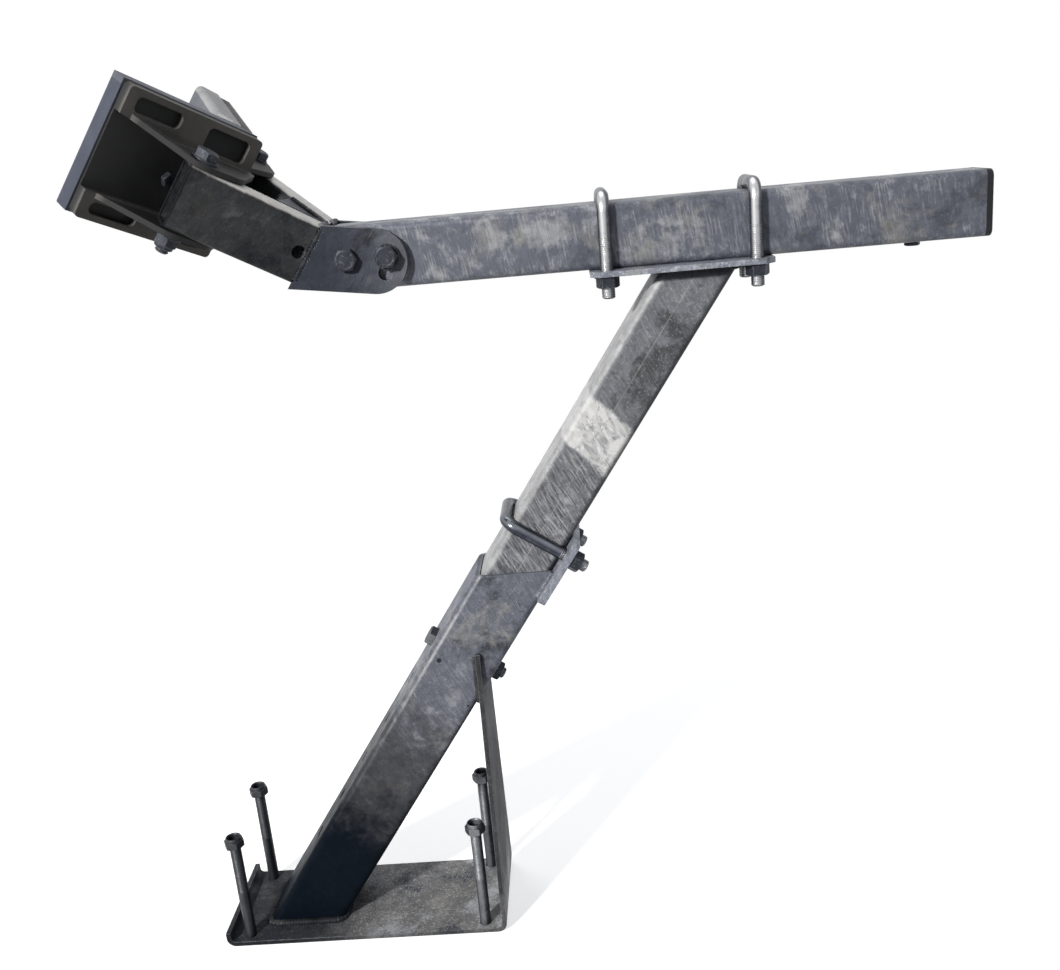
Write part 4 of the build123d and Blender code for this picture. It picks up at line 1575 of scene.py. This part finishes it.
@dataclass
class Fork(SubAssembly):
    """Tilting fork: cheeks, arms, gusset and pivot bolt."""

    shop: Workshop
    fork: ForkFrame
    cheek_outer: float = 38.5
    arm_start: float = 35.0
    arm_drop: float = 15.2
    arm_half: float = 30.0
    arm_depth: float = 30.0
    arm_bend: float = 31.0
    arm_length: float = 130.0
    gusset_end: float = 83.0
    gusset_below_top: float = 3.0
    bolt_past_cheeks: float = 16.0
    bolt_thread: float = 30.0
    bead_sunk: float = 0.4
    joint_inset: float = 3.0
    joint_step: float = 2.2
    # The narrow run is the toe of the bead, pale as a painted highlight.
    joint_runs: tuple[JointRun, ...] = (
        JointRun(WELD, 34.5, -1.6, 7.6, 0.0),
        JointRun(WELD_TOE, 30.2, -0.3, 1.3, 0.7),
    )
    gusset_bead: float = 5.5
    gusset_bead_in: float = 0.8
    gusset_bead_ends: tuple[float, float] = (3.0, 2.0)
    knuckle_bead: float = 7.0
    knuckle_back: float = 0.5
    knuckle_inset: float = 3.0
    knuckle_sunk: float = 1.0

    def dress(self) -> None:
        """Give the CAD nodes of the fork their finishes."""
        self.shop.dress(self.cheek_finish(), "near_cheek", "far_cheek", "fork_gusset")
        for side in Side:
            self.shop.dress(self.arm_finish(side), f"{side.name.lower()}_arm")

    def cheek_finish(self) -> ZincFinish:
        """Zinc of the cheeks and the gusset, with painted shade towards the arms, pale towards the round end and a
        painted highlight on its rim.

        Returns:
            The finish.
        """
        # Painted shade towards the arms.
        shade = Fade(LEFT, -110.0, -40.0, 0.8, (0.052, 0.062, 0.088), ragged=40.0)
        pale = Fade(RIGHT, 88.0, 126.0, 0.5, (0.450, 0.475, 0.530), ragged=30.0)
        # Painted highlight on the rim of the round end.
        rim = Fade(RIGHT, 130.0, 135.0, 0.7, (1.000, 1.020, 1.060), ragged=6.0)
        return ZincFinish("cheek_zinc", Strokes(30.0, 2.5, 12.0, pale=0.25, dark=0.3), tone=0.38, mottle=13.0,
                          blotches=0.2, wear=0.8, gloss=0.10, fades=(shade, pale, rim), middle=(0.140, 0.158, 0.203))

    def arm_finish(self, side: Side) -> ZincFinish:
        """Zinc of one arm, darkened all over by painted shade, with a painted shadow at its open end and a painted
        highlight on top.

        Args:
            side: Side of the arm.

        Returns:
            The finish.
        """
        splay = math.radians(self.fork.splay)
        way = self.fork.along * math.cos(splay) - Y * side.value * math.sin(splay)
        end = way.dot(self.fork.point(self.arm_bend, side.value * self.cheek_outer, 0.0)) + self.arm_length
        # Painted shadow at the open end.
        painted_shadow = Fade(tuple(way), end - 3.0, end - 0.5, 0.9, END_SHADOW, ragged=4.0)
        top = self.fork.up.dot(self.fork.point(0.0, 0.0, self.arm_half - self.arm_drop))
        # Painted highlight along the top.
        shine_and_highlight = Fade(tuple(self.fork.up), top - 2.6, top - 0.4, 0.85, (2.600, 2.540, 2.460), ragged=3.0)
        # The low tone is painted shade over the whole arm.
        return ZincFinish(f"{side.name.lower()}_arm_zinc", Strokes(60.0, 2.5, 12.0, pale=0.2, dark=0.3), tone=0.26,
                          mottle=12.0, blotches=0.25, wear=0.1, gloss=0.1, fades=(shine_and_highlight, painted_shadow),
                          middle=(0.150, 0.156, 0.168))

    def fasten(self) -> None:
        """Set out the pivot bolt and its nut."""
        middle = self.fork.pivot
        bolt = HexBolt(2 * self.cheek_outer + self.bolt_past_cheeks, self.bolt_thread)
        self.shop.fit("fork_pivot_bolt", "fork", bolt, {"pivot_bolt": Seat(middle - Y * self.cheek_outer, Y, X)})
        self.shop.fit("fork_pivot_nut", "fork", LockNut(), {"pivot_nut": Seat(middle + Y * self.cheek_outer, Y, X)})

    def weld(self) -> None:
        """Lay the welds between the cheeks, the arms and the gusset."""
        slope = math.tan(math.radians(self.fork.splay))
        sine = math.sin(math.radians(self.fork.splay))
        cosine = math.cos(math.radians(self.fork.splay))
        inside_x = self.arm_bend + self.arm_depth * sine
        inside_y = self.cheek_outer - self.arm_depth * cosine
        top = self.arm_half - self.arm_drop
        for side in Side:
            way = side.value
            name = side.name.lower()
            face = way * (self.cheek_outer - self.bead_sunk)
            for run in self.joint_runs:
                joint = [
                    self.fork.point(run.start + run.swing * (-1) ** step, face + way * run.out,
                                    top - self.joint_inset - step * self.joint_step)
                    for step in range(int(2 * (self.arm_half - self.joint_inset) / self.joint_step) + 1)
                ]
                self.shop.weld(f"{name}_cheek_{run.finish.name}", "fork", joint, run.width, Bead.CHEEK.value + way,
                               finish=run.finish)
            plate = top - self.gusset_below_top + self.bead_sunk
            start, end = self.gusset_bead_ends
            edge = [
                self.fork.point(x, way * (inside_y + (x - inside_x) * slope - self.gusset_bead_in), plate)
                for x in (self.arm_start + start, self.gusset_end - end)
            ]
            self.shop.weld(f"{name}_gusset_weld", "fork", edge, self.gusset_bead, Bead.GUSSET.value + way)
            ridge = [
                self.fork.point(self.arm_start - self.knuckle_back, near, top - self.knuckle_sunk)
                for near in (face - way * self.knuckle_inset, way * (inside_y + self.knuckle_sunk))
            ]
            self.shop.weld(f"{name}_knuckle_weld", "fork", ridge, self.knuckle_bead, Bead.KNUCKLE.value + way,
                           finish=KNUCKLE_WELD)


@dataclass
class BowPad(SubAssembly):
    """One swivelling pad: moulded carrier, rubber facing and its fixings."""

    shop: Workshop
    fork: ForkFrame
    side: Side
    angle: float
    # Share of the painted highlight along the facing's top.
    top_sheen_share: float
    bolt_along: float = 118.0
    arm_middle_x: float = 38.5
    arm_middle_y: float = 25.51
    arm_drop: float = 15.2
    seat: float = 38.1
    back: float = 32.0
    pocket_floor: float = 37.0
    channel_floor: float = 41.0
    face: float = 66.5
    facing_half: float = 62.0
    lugs_start: float = 30.0
    lugs_end: float = 24.0
    bolt_past_seats: float = 16.0
    bolt_thread: float = 28.0
    screw_inset: float = 4.0
    screw_thread: float = 10.0

    @property
    def name(self) -> str:
        """Prefix of the pad's nodes."""
        return self.side.name.lower()

    @property
    def body(self) -> str:
        """CAD body of the pad."""
        return f"{self.name}_pad"

    @property
    def outward(self) -> Vector:
        """Direction along the pad to its outer end."""
        turn = math.radians(self.angle)
        return self.fork.along * math.cos(turn) - Y * self.side.value * math.sin(turn)

    @property
    def forward(self) -> Vector:
        """Direction out of the pad's facing."""
        turn = math.radians(self.angle)
        return self.fork.along * math.sin(turn) + Y * self.side.value * math.cos(turn)

    @property
    def centre(self) -> Vector:
        """Middle of the swivel bolt.

        Returns:
            The point.
        """
        splay = math.radians(self.fork.splay)
        near = self.side.value * (self.arm_middle_y + self.bolt_along * math.sin(splay))
        return self.fork.point(self.arm_middle_x + self.bolt_along * math.cos(splay), near, -self.arm_drop)

    def carrier_finish(self) -> PolymerFinish:
        """Plastic of the carrier, with painted shade in its recesses, and dark on its lugs.

        Returns:
            The finish.
        """
        level = self.forward.dot(self.centre)
        # Painted shade in the recesses.
        recess_shade = Fade(tuple(self.forward), level + self.back, level + self.pocket_floor, 0.75,
                      (0.006, 0.008, 0.011), ragged=1.0)
        lugs = Fade(tuple(-self.forward), -level - self.lugs_start, -level - self.lugs_end, 0.82,
                    (0.014, 0.015, 0.017), ragged=1.0)
        return PolymerFinish(f"{self.name}_carrier_plastic", body=(0.078, 0.075, 0.071), dust=(0.145, 0.137, 0.128),
                             rough=0.60, dusty=0.6, scuffs=0.25, fades=(recess_shade, lugs))

    def facing_finish(self) -> PolymerFinish:
        """Rubber of the facing, pale where the bow rubs it, and with a painted highlight along its top.

        Returns:
            The finish.
        """
        face = self.forward.dot(self.centre) + self.face
        rubbed = Fade(tuple(self.forward), face - 3.0, face - 1.0, 0.4, (0.230, 0.236, 0.252), ragged=4.0,
                      patchy=0.45)
        top = self.fork.up.dot(self.centre) + self.facing_half
        # Painted highlight along the top.
        top_sheen = Fade(tuple(self.fork.up), top - 1.4, top - 0.3, self.top_sheen_share, (0.380, 0.381, 0.384), ragged=1.0,
                        patchy=0.35)
        return PolymerFinish(f"{self.name}_facing_rubber", body=(0.047, 0.055, 0.078), dust=(0.090, 0.098, 0.124),
                             rough=0.60, dusty=0.5, scuffs=0.55, fades=(rubbed, top_sheen))

    def dress(self) -> None:
        """Give the pad's CAD nodes their finishes."""
        self.shop.dress(self.carrier_finish(), f"{self.body}_carrier")
        self.shop.dress(self.facing_finish(), f"{self.body}_facing")
        self.shop.dress(DULL_PLATING, *(f"{self.body}_{end}_washer" for end in ("top", "bottom")))

    def fasten(self) -> None:
        """Set out the swivel bolt, its nut and the facing's screw."""
        up = self.fork.up
        bolt = HexBolt(2 * self.seat + self.bolt_past_seats, self.bolt_thread)
        self.shop.fit(f"{self.name}_swivel_bolt", self.body, bolt,
                      {f"{self.body}_bolt": Seat(self.centre + up * self.seat, -up, self.outward)})
        self.shop.fit(f"{self.name}_swivel_nut", self.body, LockNut(),
                      {f"{self.body}_nut": Seat(self.centre - up * self.seat, -up, self.outward)})
        spot = self.centre + self.forward * self.channel_floor - self.outward * self.screw_inset
        self.shop.fit(f"{self.name}_facing_screw", self.body, small_screw(self.screw_thread),
                      {f"{self.body}_screw": Seat(spot, self.forward, self.outward)})


@dataclass(frozen=True)
class SoftBox:
    """Wide soft lamp: place and target in metres, power in watts, colour and whether it shows in reflections."""

    name: str
    place: Triple
    target: Triple
    power: float
    size: float
    colour: Colour
    glossy: bool = True


@dataclass
class Studio:
    """Camera, lamps, floor and background."""

    eye: Triple = (0.2799, -1.0872, 0.8123)
    forward: Triple = (-0.05218, 0.95625, -0.28786)
    right: Triple = (0.99573, 0.02786, -0.08795)
    lens: float = 38.04
    sensor: float = 36.0
    clip_start: float = 0.01
    key_way: Triple = (0.506, 0.756, -0.416)
    key_target: Triple = (0.20, 0.0, 0.60)
    key_distance: float = 3.2
    key_power: float = 480.0
    key_radius: float = 0.16
    key_cone: float = 46.0
    key_blend: float = 0.6
    key_colour: Colour = (1.0, 0.98, 0.95)
    soft_boxes: tuple[SoftBox, ...] = (
        SoftBox("fill", (1.9, -1.6, 1.5), (0.2, 0.0, 0.45), 2.0, 1.6, (0.92, 0.96, 1.0)),
        SoftBox("top", (0.1, 0.5, 2.6), (0.2, 0.0, 0.5), 12.0, 1.4, (1.0, 0.99, 0.97)),
        SoftBox("back_right", (2.4, 1.3, 0.75), (0.2, 0.0, 0.5), 34.0, 1.6, (0.97, 0.98, 1.0), False),
        SoftBox("back_left", (-1.5, 2.2, 0.75), (0.2, 0.0, 0.5), 34.0, 1.6, (0.97, 0.98, 1.0), False),
    )
    sky: Colour = (0.85, 0.91, 1.0)
    sky_strength: float = 0.12
    bounce: Colour = (0.30, 0.30, 0.30)
    floor_half: float = 8.0
    floor_height: float = -0.0002
    floor_pale: Colour = (0.80, 0.80, 0.80)
    floor_glow: float = 0.56
    floor_fade: tuple[float, float] = (0.35, 1.1)

    def camera(self) -> None:
        """Stand the camera where the picture was taken."""
        data = bpy.data.cameras.new("camera")
        data.lens = self.lens
        data.sensor_width = self.sensor
        data.clip_start = self.clip_start
        camera = add_object("camera", data)
        back = -Vector(self.forward).normalized()
        right = Vector(self.right)
        right = (right - back * right.dot(back)).normalized()
        turn = Matrix((right, back.cross(right), back)).transposed().to_4x4()
        camera.matrix_world = Matrix.Translation(self.eye) @ turn
        bpy.context.scene.camera = camera

    def hang(self, data: bpy.types.Light, place: Vector, target: Vector, glossy: bool = True) -> None:
        """Hang one lamp.

        Args:
            data: The lamp.
            place: Where it hangs.
            target: What it points at.
            glossy: Whether it shows in reflections.
        """
        thing = add_object(data.name, data)
        thing.location = place
        thing.visible_glossy = glossy
        thing.rotation_euler = (target - place).to_track_quat("-Z", "Y").to_euler()

    def light(self) -> None:
        """Hang a key lamp at the upper left, a wide soft lamp overhead, a weak fill and two soft lamps behind."""
        key = bpy.data.lights.new("key", "SPOT")
        key.energy = self.key_power
        key.color = self.key_colour
        key.shadow_soft_size = self.key_radius
        key.spot_size = math.radians(self.key_cone)
        key.spot_blend = self.key_blend
        target = Vector(self.key_target)
        self.hang(key, target - Vector(self.key_way).normalized() * self.key_distance, target)
        for box in self.soft_boxes:
            data = bpy.data.lights.new(box.name, "AREA")
            data.energy = box.power
            data.color = box.colour
            data.size = box.size
            self.hang(data, Vector(box.place), Vector(box.target), box.glossy)

    def floor(self) -> None:
        """Lay a plain pale floor under the base plate's seat, fading into the background."""
        half = self.floor_half
        low = self.floor_height
        mesh = bpy.data.meshes.new("floor")
        mesh.from_pydata([(-half, -half, low), (half, -half, low), (half, half, low), (-half, half, low)], [],
                         [(0, 1, 2, 3)])
        floor = add_object("floor", mesh)
        material = bpy.data.materials.new("pale_floor")
        material.use_nodes = True
        s = Sketch(material.node_tree)
        s.tree.nodes.clear()
        matt = s.add("ShaderNodeBsdfDiffuse", {"Color": (*self.floor_pale, 1.0)})
        dim = s.add("ShaderNodeBsdfDiffuse", {"Color": (*self.bounce, 1.0)})
        white = s.add("ShaderNodeEmission")
        glow = s.add("ShaderNodeEmission", {"Strength": self.floor_glow})
        lit = s.add("ShaderNodeAddShader", {0: matt.outputs[0], 1: glow.outputs[0]})
        place = s.add("ShaderNodeTexCoord").outputs["Object"]
        far = s.add("ShaderNodeVectorMath", {0: place}, operation="LENGTH").outputs["Value"]
        start, end = self.floor_fade
        fade = s.add("ShaderNodeMapRange", {"Value": far, "From Min": start, "From Max": end},
                     interpolation_type="SMOOTHSTEP")
        seen = s.either(fade.outputs["Result"], lit, white)
        s.add("ShaderNodeOutputMaterial", {"Surface": s.either(s.looked_at(), dim, seen).outputs[0]})
        mesh.materials.append(material)

    def background(self) -> None:
        """White background for what looks at it, and soft sky light for what it lights."""
        world = bpy.data.worlds.new("studio")
        world.use_nodes = True
        s = Sketch(world.node_tree)
        s.tree.nodes.clear()
        sky = s.add("ShaderNodeBackground", {"Color": (*self.sky, 1.0), "Strength": self.sky_strength})
        white = s.add("ShaderNodeBackground", {"Color": (1.0, 1.0, 1.0, 1.0)})
        s.add("ShaderNodeOutputWorld", {"Surface": s.either(s.looked_at(), sky, white).outputs[0]})
        bpy.context.scene.world = world

    def build(self) -> None:
        """Set the whole studio up."""
        bpy.context.scene.view_settings.view_transform = "Standard"
        self.camera()
        self.light()
        self.floor()
        self.background()


def main() -> None:
    """Build and dress every sub-assembly and set up the studio."""
    logging.basicConfig(level=logging.INFO, format="%(name)s: %(message)s")
    shop = Workshop(set_out_tree(), thread_tree(), bead_tree())
    post = PostFrame()
    fork = ForkFrame()
    groups = [
        BaseStand(shop, post),
        Mast(shop, post),
        Beam(shop),
        Fork(shop, fork),
        # The last number of each pad is the share of the painted highlight along its facing's top.
        BowPad(shop, fork, Side.NEAR, 50.0, 0.15),
        BowPad(shop, fork, Side.FAR, 62.5, 0.9),
    ]
    for group in groups:
        group.build()
    Studio().build()


if __name__ == "__main__":
    main()
